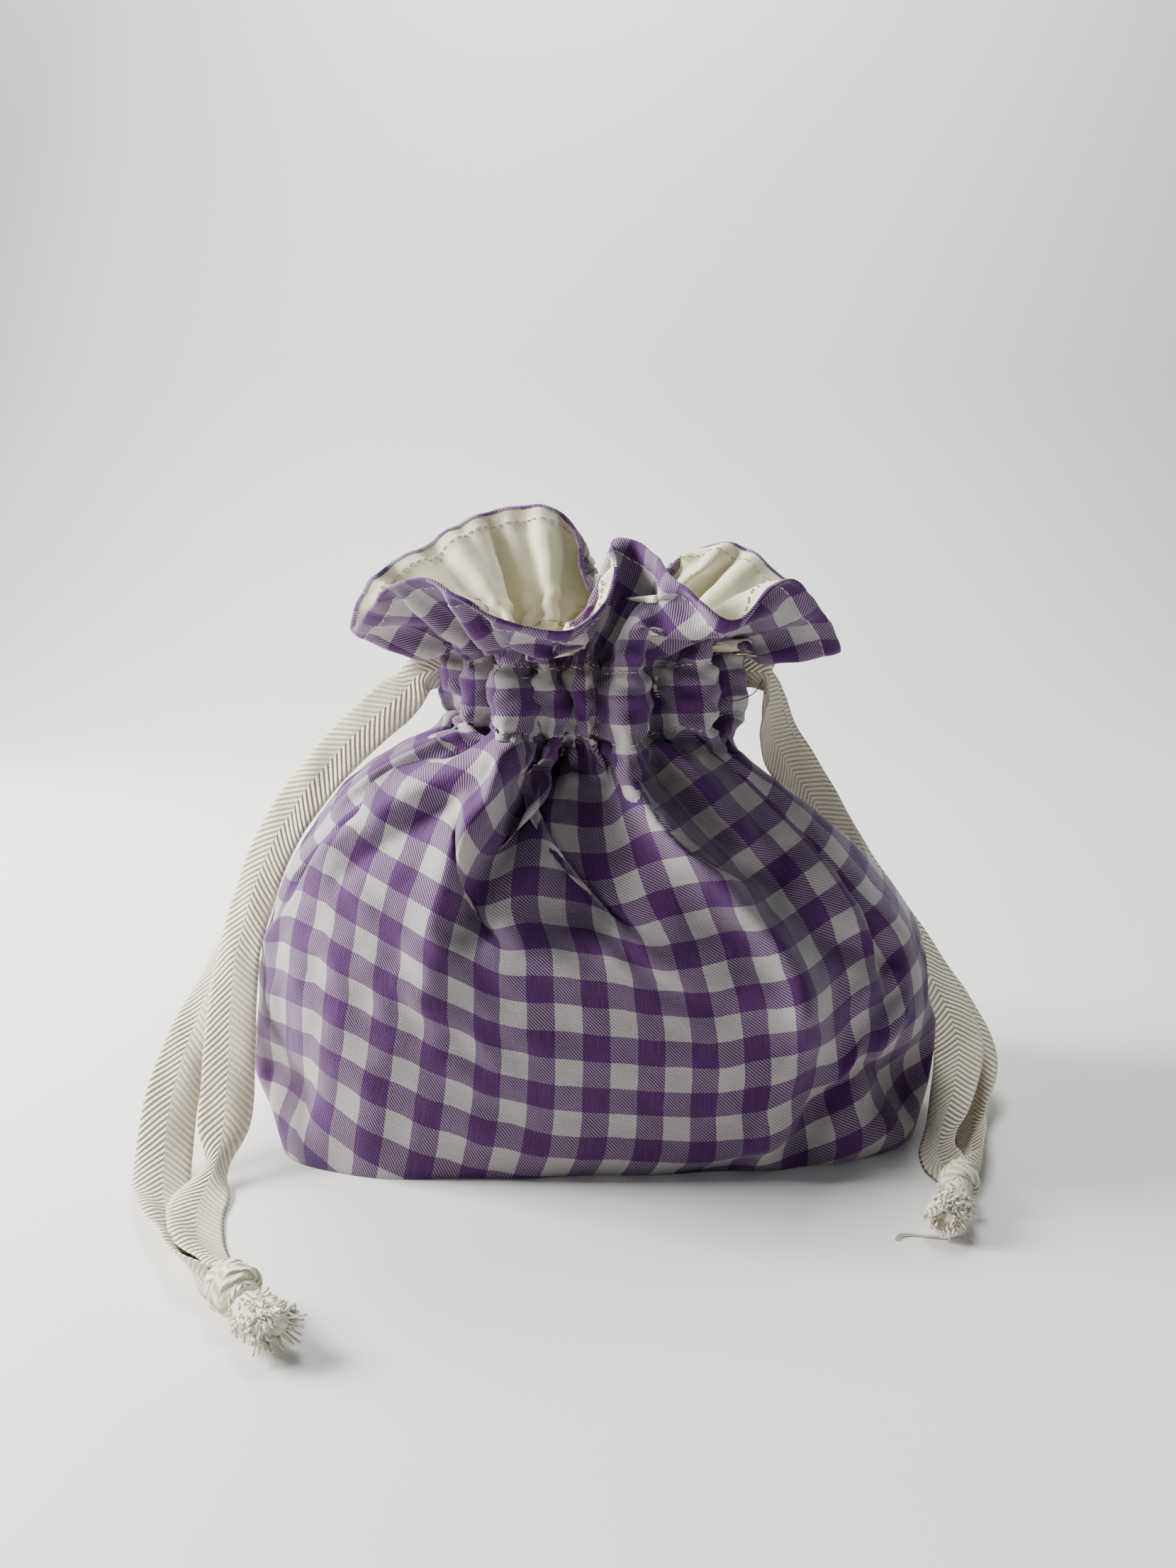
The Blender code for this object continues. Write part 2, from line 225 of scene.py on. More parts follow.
# The squares are counted from the left front corner, two checks apart, and by white row from the
# base up.  Each lies on the line of sight through (x, z) on the plane SIGHT_PLANE.
SIGHT_PLANE = -0.060
FIRST_SQUARE = -0.119                # the first column, from the front middle
FRONT_SQUARES = {
    (-1, 0): ((-122, 31), (-117, 51), (-114, 69), (-111, 89), (-108, 108), (-101, 126)),
    (0, 0): ((-110, 22), (-104, 42), (-101, 61), (-96, 81), (-94, 99), (-92, 118), (-81, 134),
        (-76, 153), (-58, 164)),
    (1, 0): ((-93, 14), (-88, 34), (-83, 54), (-81, 74), (-80, 91), (-78, 108), (-72, 126),
        (-66, 146), (-53, 156), (-38, 164)),
    (2, 0): ((-75, 7), (-70, 28), (-66, 47), (-65, 65), (-65, 81), (-65, 98), (-57, 118),
        (-46, 136), (-36, 152), (-29, 166)),
    (3, 0): ((-56, 1), (-52, 21), (-48, 39), (-48, 56), (-49, 72), (-49, 91), (-46, 107)),
    (4, 1): ((-34, 11), (-31, 30), (-31, 46), (-32, 63), (-31, 83), (-38, 97), (-36, 113)),
    (5, 1): ((-15, 3), (-13, 20), (-13, 39), (-12, 62), (-12, 82), (-18, 97)),
    (6, 1): ((6, 2), (8, 18), (8, 38), (8, 59), (6, 79), (0, 94), (-6, 105)),
    (7, 2): ((28, 16), (28, 36), (28, 56), (23, 75), (18, 91), (11, 106), (6, 122)),
    (8, 1): ((48, -0), (48, 14), (49, 35), (46, 54), (40, 72), (34, 91), (29, 109)),
    (9, 1): ((61, 3), (64, 20), (69, 37), (65, 55), (58, 75), (52, 93), None, (24, 124), (12, 138)),
    (10, 1): ((82, 13), (76, 27), (85, 45), (83, 62), (74, 82), (60, 98), (49, 114), (34, 130)),
    (11, 0): ((100, 4), (96, 20), (89, 35), (95, 50)),
    (12, 0): ((112, 11), (109, 26), (101, 42), (106, 60)),
}


def sight_targets(cloth_v):
    """Grid places and lines of sight of the squares that guide the front."""
    places, toward = [], []
    for (column, first_row), points in FRONT_SQUARES.items():
        u = FIRST_SQUARE + 2.0 * CHECK * column
        col = int(round((u / GIRTH + 0.25) * COLUMNS)) % COLUMNS
        for step, point in enumerate(points):
            if point is None:
                continue
            v = 2.0 * CHECK * (first_row + step + 1)
            row = int(np.argmin(np.abs(cloth_v[:, col] - v)))
            target = np.array([point[0] / 1000.0, SIGHT_PLANE, point[1] / 1000.0])
            line = target - CAMERA_AT
            places.append((row, col))
            toward.append(line / np.linalg.norm(line))
    return np.array(places), np.array(toward)


# Folds the front shows, on SIGHT_PLANE: half width, height at the start and at the end (mm, a
# valley below 0), then the points (x, z) of the line.
FRONT_FOLDS = (
    (8, 10, 2, (-26, 167), (-36, 152), (-45, 136), (-52, 118), (-57, 100), (-62, 71)),
    (6, -13, -5, (-11, 160), (-22, 145), (-31, 128), (-42, 110), (-49, 94)),
    (4, 3, 3, (-39, 170), (-61, 163), (-78, 155), (-93, 144)),
    (3.5, -5, -4, (-36, 164), (-51, 159), (-72, 150), (-90, 139), (-101, 132)),
    (5, 4, 3, (-39, 159), (-63, 146), (-81, 138), (-98, 126)),
    (4, -5, -2, (-44, 144), (-59, 136), (-74, 127), (-91, 114)),
    (4, -3, -3, (-115, 77), (-113, 61), (-119, 39)),
    (19, -16, -8, (-6, 154), (-6, 132), (-8, 108)),
    (9, 2, 2, (-37, 89), (-17, 82), (3, 80), (29, 82)),
    (7, 11, 8, (5, 160), (12, 144), (27, 127), (45, 111), (62, 92), (74, 74), (76, 59)),
    (9, 4, 4, (60, 68), (71, 57), (76, 54)),
    (6, -11, -5, (19, 151), (36, 132), (51, 115), (67, 97), (84, 86), (102, 82), (117, 80)),
    (5.5, 8, 6, (24, 160), (35, 147), (46, 132), (54, 121)),
    (4.5, -5, -4, (34, 160), (48, 145), (58, 130), (64, 121)),
    (5, -4, -3, (54, 117), (64, 111)),
    (6, 3, 3, (84, 62), (74, 43), (66, 23), (62, 6)),
    (6, -6, -5, (108, 67), (96, 53), (88, 37), (80, 20), (76, 5)),
    (6, 3, 2, (116, 56), (102, 42), (94, 22)),
    (5, -3, -3, (102, 77), (89, 69), (82, 54)),
)

# The bag's outline as the camera sees it, on the plane y = 0 (mm): (x, z) up each side.
LEFT_OUTLINE = ((-131, -35), (-136, -18), (-139, -5), (-141, 8), (-142, 24), (-141, 36), (-139, 55),
                (-136, 67), (-131, 79), (-126, 94), (-118, 108), (-109, 123), (-94, 141),
                (-77, 151), (-56, 160))
RIGHT_OUTLINE = ((136, -35), (139, -28), (141, -19), (146, 0), (148, 17), (149, 30), (146, 42),
                 (143, 58), (139, 71), (129, 86), (112, 107), (96, 120), (76, 134), (65, 142),
                 (53, 153))


def seen_on(plane, points):
    """Where lines of sight through the points cross a plane y = constant, and their depth there."""
    away = points - CAMERA_AT
    reach = (plane - CAMERA_AT[1]) / away[..., 1]
    return CAMERA_AT[0] + away[..., 0] * reach, CAMERA_AT[2] + away[..., 2] * reach, reach


def fold_height(x, z):
    """Height of the front's folds at places on SIGHT_PLANE."""
    total = np.zeros_like(x)
    for half_width, first, last, *line in FRONT_FOLDS:
        line = np.array(line) / 1000.0
        nearest = np.full(x.shape, 1e9)
        along = np.zeros_like(x)
        for k in range(len(line) - 1):
            span = line[k + 1] - line[k]
            t = ((x - line[k, 0]) * span[0] + (z - line[k, 1]) * span[1]) / (span @ span)
            t = np.clip(t, 0.0, 1.0)
            gap = (x - line[k, 0] - t * span[0]) ** 2 + (z - line[k, 1] - t * span[1]) ** 2
            closer = gap < nearest
            nearest = np.where(closer, gap, nearest)
            along = np.where(closer, (k + t) / (len(line) - 1), along)
        height = (first + (last - first) * along) / 1000.0
        total += height * np.exp(-nearest / (half_width / 1000.0) ** 2)
    return total


class FrontRelief:
    """How far away, in y, the front should be along each line of sight."""

    cell = 0.004
    left, low, wide, tall = -0.160, -0.012, 84, 56

    def __init__(self, smooth):
        body = smooth[1:BODY_ROWS + 1]
        facing = surface_normals(smooth)[1:BODY_ROWS + 1, :, 1] < 0.05
        x, z, _ = seen_on(SIGHT_PLANE, body[facing])
        col = np.clip(((x - self.left) / self.cell).astype(int), 0, self.wide - 1)
        row = np.clip(((z - self.low) / self.cell).astype(int), 0, self.tall - 1)
        total = np.zeros((self.tall, self.wide))
        count = np.zeros((self.tall, self.wide))
        np.add.at(total, (row, col), body[facing][:, 1])
        np.add.at(count, (row, col), 1.0)
        known = count > 0
        depth = np.where(known, total / np.maximum(count, 1.0), body[facing][:, 1].mean())
        for _ in range(60):
            even = depth.copy()
            even[1:-1, 1:-1] = 0.25 * (depth[:-2, 1:-1] + depth[2:, 1:-1] +
                                       depth[1:-1, :-2] + depth[1:-1, 2:])
            depth = np.where(known, depth, even)
        self.depth = depth

    def read(self, x, z):
        across = np.clip((x - self.left) / self.cell - 0.5, 0.0, self.wide - 1.001)
        up = np.clip((z - self.low) / self.cell - 0.5, 0.0, self.tall - 1.001)
        col, row = across.astype(int), up.astype(int)
        s, t = across - col, up - row
        d = self.depth
        level = (d[row, col] * (1 - s) + d[row, col + 1] * s) * (1 - t) + \
            (d[row + 1, col] * (1 - s) + d[row + 1, col + 1] * s) * t
        return level - fold_height(x, z)


def carve(points, share):
    """Moves the front along its lines of sight to the height of its folds."""
    x, z, _ = seen_on(SIGHT_PLANE, points)
    facing = np.clip(-1.6 * surface_normals(points)[..., 1] - 0.1, 0.0, 1.0)
    facing[BODY_ROWS:] = 0.0
    away = points - CAMERA_AT
    slide = -fold_height(x, z) * facing * share / away[..., 1]
    points += away * slide[..., None]


def inside_outline(points, share):
    """Moves what sticks out past the seen outline back inwards."""
    x, z, reach = seen_on(0.0, points)
    for table, side in ((LEFT_OUTLINE, -1.0), (RIGHT_OUTLINE, 1.0)):
        table = np.array(table) / 1000.0
        limit = np.interp(z, table[:, 1], table[:, 0])
        over = np.maximum(side * (x - limit), 0.0)
        over[(z > table[-1, 1]) | (z < table[0, 1])] = 0.0
        points[..., 0] -= side * over * share / reach


# ---- the cloth relaxed -------------------------------------------------------------------

def pair_groups(rows, cloth_v):
    """Pairs of grid points that keep their distance in the cloth, in groups that share no point."""
    index = np.arange(rows * COLUMNS).reshape(rows, COLUMNS)
    column = np.arange(COLUMNS)
    groups = []

    def add(a, b, across_steps, stiffness):
        height = np.abs(cloth_v.ravel()[a] - cloth_v.ravel()[b])
        rest = np.hypot(across_steps * GIRTH / COLUMNS, height)
        groups.append((a, b, rest, stiffness))

    for start in (0, 1):
        cols = column[start::2]
        add(index[:, cols].ravel(), index[:, (cols + 1) % COLUMNS].ravel(), 1, 1.0)
        low = np.arange(start, rows - 1, 2)
        add(index[low].ravel(), index[low + 1].ravel(), 0, 1.0)
        for lean in (1, -1):
            add(index[low].ravel(), np.roll(index[low + 1], -lean, axis=1).ravel(), 1, 0.25)
    for start in (0, 2):
        cols = column[(column % 4 == start) | (column % 4 == start + 1)]
        add(index[:, cols].ravel(), index[:, (cols + 2) % COLUMNS].ravel(), 2, 0.10)
        low = np.arange(rows - 2)
        low = low[(low % 4 == start) | (low % 4 == start + 1)]
        add(index[low].ravel(), index[low + 2].ravel(), 0, 0.10)
    for start in (0, 5):
        cols = column[(column % 10 >= start) & (column % 10 < start + 5)]
        body = index[:BODY_ROWS - 8]
        add(body[:, cols].ravel(), body[:, (cols + 5) % COLUMNS].ravel(), 5, 0.12)
        low = np.arange(BODY_ROWS - 13)
        low = low[(low % 10 >= start) & (low % 10 < start + 5)]
        add(index[low].ravel(), index[low + 5].ravel(), 0, 0.12)
    return groups


def surface_normals(points):
    around = np.roll(points, -1, axis=1) - np.roll(points, 1, axis=1)
    up = np.gradient(points, axis=0)
    normal = np.cross(around, up)
    return normal / np.maximum(np.linalg.norm(normal, axis=2), 1e-9)[:, :, None]


def relax(start, smooth, cloth_v, steps, sights):
    """Cloth at its real size under a little pressure, held at the base, the seams and the rim."""
    rows = len(start)
    points = start.copy()
    relief = FrontRelief(smooth)
    carve(points, 1.0)
    speed = np.zeros_like(points)
    groups = pair_groups(rows, cloth_v)
    movable = np.ones((rows, 1, 1))
    movable[0] = 0.0
    flat_movable = np.repeat(movable[:, 0, 0], COLUMNS)
    seam_low, seam_high = BODY_ROWS, BODY_ROWS + CASING_ROWS
    rim = rows - 1
    places, toward = sights
    front = slice(2, BODY_ROWS - 3)
    for step in range(steps):
        progress = step / steps
        normal = surface_normals(points)
        push = np.zeros((rows, 1, 1))
        push[:BODY_ROWS - 4] = 0.000035
        push[seam_low + 1:seam_high] = 0.00004
        before = points.copy()
        points = points + (speed * 0.90 + normal * push) * movable
        body = slice(1, BODY_ROWS - 12)
        hold = 0.010 * (1.0 - 0.6 * progress)
        points[body] += (smooth[body] - points[body]) * hold
        points[seam_low] += (start[seam_low] - points[seam_low]) * 0.25
        points[seam_high] += (start[seam_high] - points[seam_high]) * 0.25
        points[rim] += (smooth[rim] - points[rim]) * (0.10 + 0.15 * progress)
        if step % 8 == 0:
            x, z, _ = seen_on(SIGHT_PLANE, points[front])
            wanted = relief.read(x, z)
            facing = np.clip(-1.6 * normal[front, :, 1] - 0.1, 0.0, 1.0)
        away = points[front] - CAMERA_AT
        slide = (wanted - points[front, :, 1]) * facing * 0.10
        points[front] += away * (slide / away[..., 1])[..., None]
        inside_outline(points[1:BODY_ROWS], 0.5)
        near = points[places[:, 0], places[:, 1]] - CAMERA_AT
        off = near - toward * np.einsum("ij,ij->i", near, toward)[:, None]
        for up in (-2, -1, 0, 1, 2):
            for side in (-2, -1, 0, 1, 2):
                r = np.clip(places[:, 0] + up, 1, rim)
                c = (places[:, 1] + side) % COLUMNS
                points[r, c] -= off * 0.22 / (1.0 + up * up + side * side)
        flat = points.reshape(-1, 3)
        for _ in range(2):
            for a, b, rest, stiffness in groups:
                gap = flat[b] - flat[a]
                length = np.maximum(np.sqrt(np.einsum("ij,ij->i", gap, gap)), 1e-9)
                move_a, move_b = flat_movable[a], flat_movable[b]
                share = stiffness * (length - rest) / (length * np.maximum(move_a + move_b, 1.0))
                flat[a] += gap * (share * move_a)[:, None]
                flat[b] -= gap * (share * move_b)[:, None]
        points = flat.reshape(rows, COLUMNS, 3)
        points[1:, :, 2] = np.maximum(points[1:, :, 2], 0.0006)
        speed = points - before
        speed[:] = np.clip(speed, -0.002, 0.002)
    return points


def soften(points, rounds, weight):
    """Evens out what is smaller than a thread's stiffness would allow."""
    for _ in range(rounds):
        mean = 0.25 * (np.roll(points, 1, axis=1) + np.roll(points, -1, axis=1))
        mean[1:-1] += 0.25 * (points[:-2] + points[2:])
        mean[0], mean[-1] = points[0], \
            0.5 * (np.roll(points[-1], 1, axis=0) + np.roll(points[-1], -1, axis=0))
        points = points + (mean - points) * weight
    return points


def even_out(points):
    """Fine wrinkles out of the body; the gathers and the ruffle keep theirs."""
    body = soften(points, 9, 0.5)
    share = np.clip((BODY_ROWS - 6 - np.arange(len(points))) / 14.0, 0.0, 1.0)[:, None, None]
    return soften(points, 2, 0.5) * (1.0 - share) + body * share


# ---- objects and the camera ---------------------------------------------------------------

def put_in_scene(name, data):
    obj = bpy.data.objects.new(name, data)
    bpy.context.scene.collection.objects.link(obj)
    return obj


def add_camera():
    data = bpy.data.cameras.new("camera")
    data.sensor_fit = "VERTICAL"
    data.sensor_height = 36.0
    data.lens = 36.0 * CAMERA_FOCAL
    data.clip_start = 0.01
    camera = put_in_scene("camera", data)
    tilt = Matrix.Rotation(math.pi / 2 - CAMERA_PITCH, 4, "X")
    camera.matrix_world = (Matrix.Translation(CAMERA_AT)
                           @ Matrix.Rotation(-CAMERA_YAW, 4, "Z") @ tilt)
    bpy.context.scene.camera = camera


# ---- materials ---------------------------------------------------------------------------

class Weaver:
    """A small helper that builds a procedural cloth material node by node."""

    def __init__(self, name, roughness, sheen):
        self.material = bpy.data.materials.new(name)
        self.material.use_nodes = True
        self.nodes = self.material.node_tree.nodes
        self.links = self.material.node_tree.links
        self.shader = self.nodes["Principled BSDF"]
        self.shader.inputs["Roughness"].default_value = roughness
        self.shader.inputs["Specular IOR Level"].default_value = 0.25
        self.shader.inputs["Sheen Weight"].default_value = sheen
        self.shader.inputs["Sheen Roughness"].default_value = 0.4
        uv = self.nodes.new("ShaderNodeUVMap")
        uv.uv_map = "cloth"
        split = self.nodes.new("ShaderNodeSeparateXYZ")
        self.links.new(uv.outputs["UV"], split.inputs[0])
        self.uv = uv.outputs["UV"]
        self.u, self.v = split.outputs[0], split.outputs[1]

    def put(self, socket, value):
        if isinstance(value, bpy.types.NodeSocket):
            self.links.new(value, socket)
        else:
            socket.default_value = value

    def math(self, operation, a, b=0.0, c=0.0, clamp=False):
        node = self.nodes.new("ShaderNodeMath")
        node.operation = operation
        node.use_clamp = clamp
        for socket, value in zip(node.inputs, (a, b, c)):
            self.put(socket, value)
        return node.outputs[0]

    def times(self, a, b):
        return self.math("MULTIPLY", a, b)

    def plus(self, a, b, clamp=False):
        return self.math("ADD", a, b, clamp=clamp)

    def ramp(self, value, low, high, to_low=0.0, to_high=1.0):
        node = self.nodes.new("ShaderNodeMapRange")
        node.interpolation_type = "SMOOTHSTEP"
        for socket, item in zip(node.inputs, (value, low, high, to_low, to_high)):
            self.put(socket, item)
        return node.outputs[0]

    def mix(self, factor, a, b, blend="MIX"):
        node = self.nodes.new("ShaderNodeMix")
        node.data_type = "RGBA"
        node.blend_type = blend
        self.put(node.inputs[0], factor)
        for socket, value in ((node.inputs[6], a), (node.inputs[7], b)):
            self.put(socket, (*value, 1.0) if isinstance(value, tuple) else value)
        return node.outputs[2]

    def noise(self, scale, detail=2.0, stretch=(1.0, 1.0)):
        place = self.nodes.new("ShaderNodeCombineXYZ")
        self.put(place.inputs[0], self.times(self.u, scale * stretch[0]))
        self.put(place.inputs[1], self.times(self.v, scale * stretch[1]))
        node = self.nodes.new("ShaderNodeTexNoise")
        node.inputs["Scale"].default_value = 1.0
        node.inputs["Detail"].default_value = detail
        self.links.new(place.outputs[0], node.inputs["Vector"])
        return node.outputs["Fac"]

    def wave(self, phase):
        """A sine between 0 and 1 of a phase in turns."""
        turns = self.times(phase, 2.0 * math.pi)
        return self.math("MULTIPLY_ADD", self.math("SINE", turns), 0.5, 0.5)

    def finish(self, colour, height, depth):
        self.put(self.shader.inputs["Base Color"], colour)
        bump = self.nodes.new("ShaderNodeBump")
        bump.inputs["Strength"].default_value = 1.0
        bump.inputs["Distance"].default_value = depth
        self.links.new(height, bump.inputs["Height"])
        self.links.new(bump.outputs["Normal"], self.shader.inputs["Normal"])
        return self.material


YARN = 0.00033                       # from one yarn of the gingham to the next


def gingham_material():
    """White and purple yarns both ways in a twill: colour comes from whichever lies on top."""
    w = Weaver("gingham_cotton", 0.82, 0.35)
    warp_yarn = w.noise(1.0 / YARN, 1.0, (1.0, 0.03))
    weft_yarn = w.noise(1.0 / YARN, 1.0, (0.03, 1.0))
    wobble = w.times(w.math("SUBTRACT", w.noise(260.0), 0.5), 0.0006)
    u_turns = w.math("MULTIPLY_ADD", w.plus(w.u, wobble), 50.0, 50.0 * 0.084)
    v_turns = w.math("MULTIPLY_ADD", w.plus(w.v, wobble), 50.0, -50.0 * 0.015)
    warp_dark = w.math("GREATER_THAN", w.math("FRACT", u_turns), 0.5)
    weft_dark = w.math("GREATER_THAN", w.math("FRACT", v_turns), 0.5)
    diagonal = w.math("DIVIDE", w.plus(w.u, w.v), 4.0 * YARN)
    twill = w.wave(diagonal)
    warp_on_top = w.ramp(twill, 0.30, 0.70, 0.24, 0.76)
    tinted = w.times(w.math("ABSOLUTE", w.math("SUBTRACT", warp_dark, weft_dark)), 0.24)
    dark = w.plus(w.times(warp_dark, warp_on_top),
                  w.times(weft_dark, w.math("SUBTRACT", 1.0, warp_on_top)))
    purple = w.mix(w.ramp(warp_yarn, 0.25, 0.75), (0.056, 0.011, 0.088), (0.094, 0.026, 0.132))
    white = w.mix(w.ramp(weft_yarn, 0.2, 0.8), (0.385, 0.350, 0.355), (0.465, 0.430, 0.435))
    dark = w.plus(dark, tinted, clamp=True)
    colour = w.mix(dark, white, purple)
    soil = w.ramp(w.noise(38.0, 4.0), 0.35, 0.75, 0.93, 1.04)
    shade = w.nodes.new("ShaderNodeCombineColor")
    for socket in shade.inputs[:3]:
        w.put(socket, soil)
    colour = w.mix(1.0, colour, shade.outputs[0], "MULTIPLY")
    height = w.plus(w.times(twill, 0.5),
                    w.plus(w.times(warp_yarn, 0.6),
                           w.times(weft_yarn, 0.6)))
    return w.finish(colour, height, 0.00022)


def plain_material():
    """Cream plain weave with a few thicker yarns."""
    w = Weaver("lining_cotton", 0.85, 0.3)
    thread = 0.0004
    warp = w.wave(w.math("DIVIDE", w.u, thread))
    weft = w.wave(w.math("DIVIDE", w.v, thread))
    slub = w.plus(w.noise(1.0 / thread, 1.0, (1.0, 0.02)),
                  w.noise(1.0 / thread, 1.0, (0.02, 1.0)))
    tone = w.ramp(slub, 0.7, 1.3)
    colour = w.mix(tone, (0.81, 0.765, 0.555), (0.90, 0.865, 0.67))
    colour = w.mix(w.ramp(w.noise(30.0, 3.0), 0.3, 0.8, 0.0, 0.35), colour, (0.72, 0.67, 0.50))
    height = w.plus(w.times(w.times(warp, weft), 0.4), slub)
    return w.finish(colour, height, 0.00016)


def tape_material():
    """Natural cotton tape: two lengthwise bands of thick ribs that lean together, a herringbone;
    painted shade darkens the grooves between the ribs.
    """
    w = Weaver("tape_cotton", 0.88, 0.3)
    across = w.math("PINGPONG", w.times(w.u, 2.0), 1.0)
    phase = w.plus(w.math("DIVIDE", w.v, 0.0027), w.times(across, 3.2))
    rib = w.wave(phase)
    yarn = w.noise(1400.0, 2.0, (0.02, 1.0))
    fluff = w.noise(900.0, 3.0, (0.02, 1.0))
    # Painted shade: the colour goes to a dark tan in the grooves between the ribs, for the shade
    # that falls there; the rib crests keep the cream.
    valley = w.ramp(rib, 0.05, 0.6)
    colour = w.mix(valley, (0.56, 0.48, 0.34), (0.90, 0.83, 0.65))
    colour = w.mix(w.ramp(fluff, 0.35, 0.8, 0.0, 0.5), colour, (0.88, 0.83, 0.70))
    height = w.plus(rib, w.times(yarn, 0.45))
    return w.finish(colour, height, 0.00075)


def thread_material(name, dark, light):
    """Twisted sewing thread, with painted shade: the colour darkens in the grooves of the twist."""
    w = Weaver(name, 0.7, 0.2)
    twist = w.wave(w.plus(w.times(w.u, 2.0), w.math("DIVIDE", w.v, 0.0006)))
    # Painted shade: the twist wave is also the bump, so the thread is coloured darker in its
    # grooves, where shade falls.
    colour = w.mix(twist, dark, light)
    return w.finish(colour, twist, 0.00008)


# ---- tapes -------------------------------------------------------------------------------

TAPE_WIDTH = 0.020
TAPE_THICK = 0.0010
NEAR_FLOOR = 0.003                   # a tape lower than this is pressed flatter, and stays above 0

# The routes of the free tapes, as in the CAD, from the casing to the knot (mm).
LEFT_FRONT_ROUTE = (
    (-66.5, -3.5, 179), (-73, -4, 172), (-84, -4, 163), (-98, -3, 150), (-113, -3, 133),
    (-126.5, -5, 112), (-135, -10, 90), (-140, -17, 70), (-140.5, -28, 54), (-139.5, -40, 38),
    (-139, -51, 22), (-140, -61, 10), (-141.5, -72, 5.5), (-141, -87, 5), (-136.5, -103, 5),
    (-130, -114, 6), (-122.4, -124.2, 8),
)
LEFT_BACK_ROUTE = (
    (-66.5, 4, 179), (-74, 7, 171), (-87, 9, 161), (-102, 11, 147), (-118, 12, 129),
    (-131, 10, 108), (-140, 5, 88), (-147.5, -3, 70), (-153, -15, 54), (-157.5, -30, 39),
    (-160.5, -44, 24), (-160, -58, 11), (-156.5, -74, 5.5), (-149, -92, 5), (-140, -108, 5),
    (-136, -118, 6), (-130.1, -127.5, 8),
)
RIGHT_FRONT_ROUTE = (
    (69.5, -3.5, 178), (71.5, 3, 170), (74, 12, 160), (79, 23, 147), (89, 32, 133),
    (101, 38, 117), (111, 41, 101), (122, 41, 84), (133, 34, 67), (145.5, 22, 50), (152.5, 7, 36),
    (153, -11, 24), (145, -30, 14), (135.5, -46, 7.5), (129, -58, 5), (126.2, -68, 5.5),
    (127.2, -76.7, 7),
)
RIGHT_BACK_ROUTE = (
    (69.5, 4, 178), (73, 12, 169), (78, 21, 158), (84, 31, 146), (94, 40, 132), (105, 46, 116),
    (115, 49, 99), (126, 48, 82), (138, 41, 65), (150, 28, 48), (158, 12, 33), (160.5, -6, 20),
    (156, -24, 10.5), (149, -40, 6), (144, -53, 5), (139.7, -66, 5.5), (135.4, -78.1, 7),
)

# Which way each tape's width points, at shares of its length.
LEFT_FRONT_WIDTH = ((0.00, (0.1, 0.3, 1.0)), (0.10, (-0.5, 0.4, 0.7)), (0.30, (-0.6, 0.5, 0.5)),
                    (0.48, (-0.8, 0.5, 0.2)), (0.60, (-1.0, 0.1, 0.0)), (0.76, (-1.0, -0.1, 0.1)),
                    (0.86, (-0.9, -0.2, 0.5)), (0.94, (-0.7, -0.4, 0.7)), (1.00, (-0.6, -0.4, 0.7)))
LEFT_BACK_WIDTH = ((0.00, (0.1, 0.3, 1.0)), (0.12, (-0.3, 0.8, 0.6)), (0.35, (-0.3, 0.9, 0.3)),
                   (0.50, (-0.5, 0.8, 0.2)), (0.62, (-0.9, 0.3, 0.3)), (0.72, (-1.0, 0.0, 0.2)),
                   (0.84, (-0.8, 0.2, 0.6)), (0.94, (-0.5, 0.2, 0.9)), (1.00, (-0.3, 0.3, 0.9)))
RIGHT_FRONT_WIDTH = ((0.00, (-0.1, 0.3, 1.0)), (0.12, (0.4, 0.2, 0.9)), (0.35, (0.5, 0.2, 0.9)),
                     (0.60, (0.5, 0.8, 0.4)), (0.75, (0.8, 0.3, 0.5)), (0.88, (0.7, 0.1, 0.7)),
                     (1.00, (0.6, 0.1, 0.8)))
RIGHT_BACK_WIDTH = ((0.00, (-0.1, 0.3, 1.0)), (0.12, (0.4, 0.2, 0.9)), (0.35, (0.5, 0.3, 0.8)),
                    (0.60, (0.5, 0.8, 0.4)), (0.75, (0.9, 0.3, 0.4)), (0.88, (0.6, 0.3, 0.8)),
                    (1.00, (0.3, 0.3, 0.9)))


def settle(route, knot_end):
    """The route with its low stretch let down onto the table, as a flat tape lies lower."""
    points = np.array(route) / 1000.0
    low = np.clip((0.016 - points[:, 2]) / 0.010, 0.0, 1.0)
    points[:, 2] -= 0.0022 * low
    inward = -np.sign(points[0, 0]) * np.array([0.0115, 0.0, 0.0])
    start = points[0] + inward + (0.0, -0.6 * points[0, 1], 0.0015)
    return np.concatenate([[start], points, [knot_end]])


def unit(vectors):
    return vectors / np.maximum(np.linalg.norm(vectors, axis=-1, keepdims=True), 1e-9)


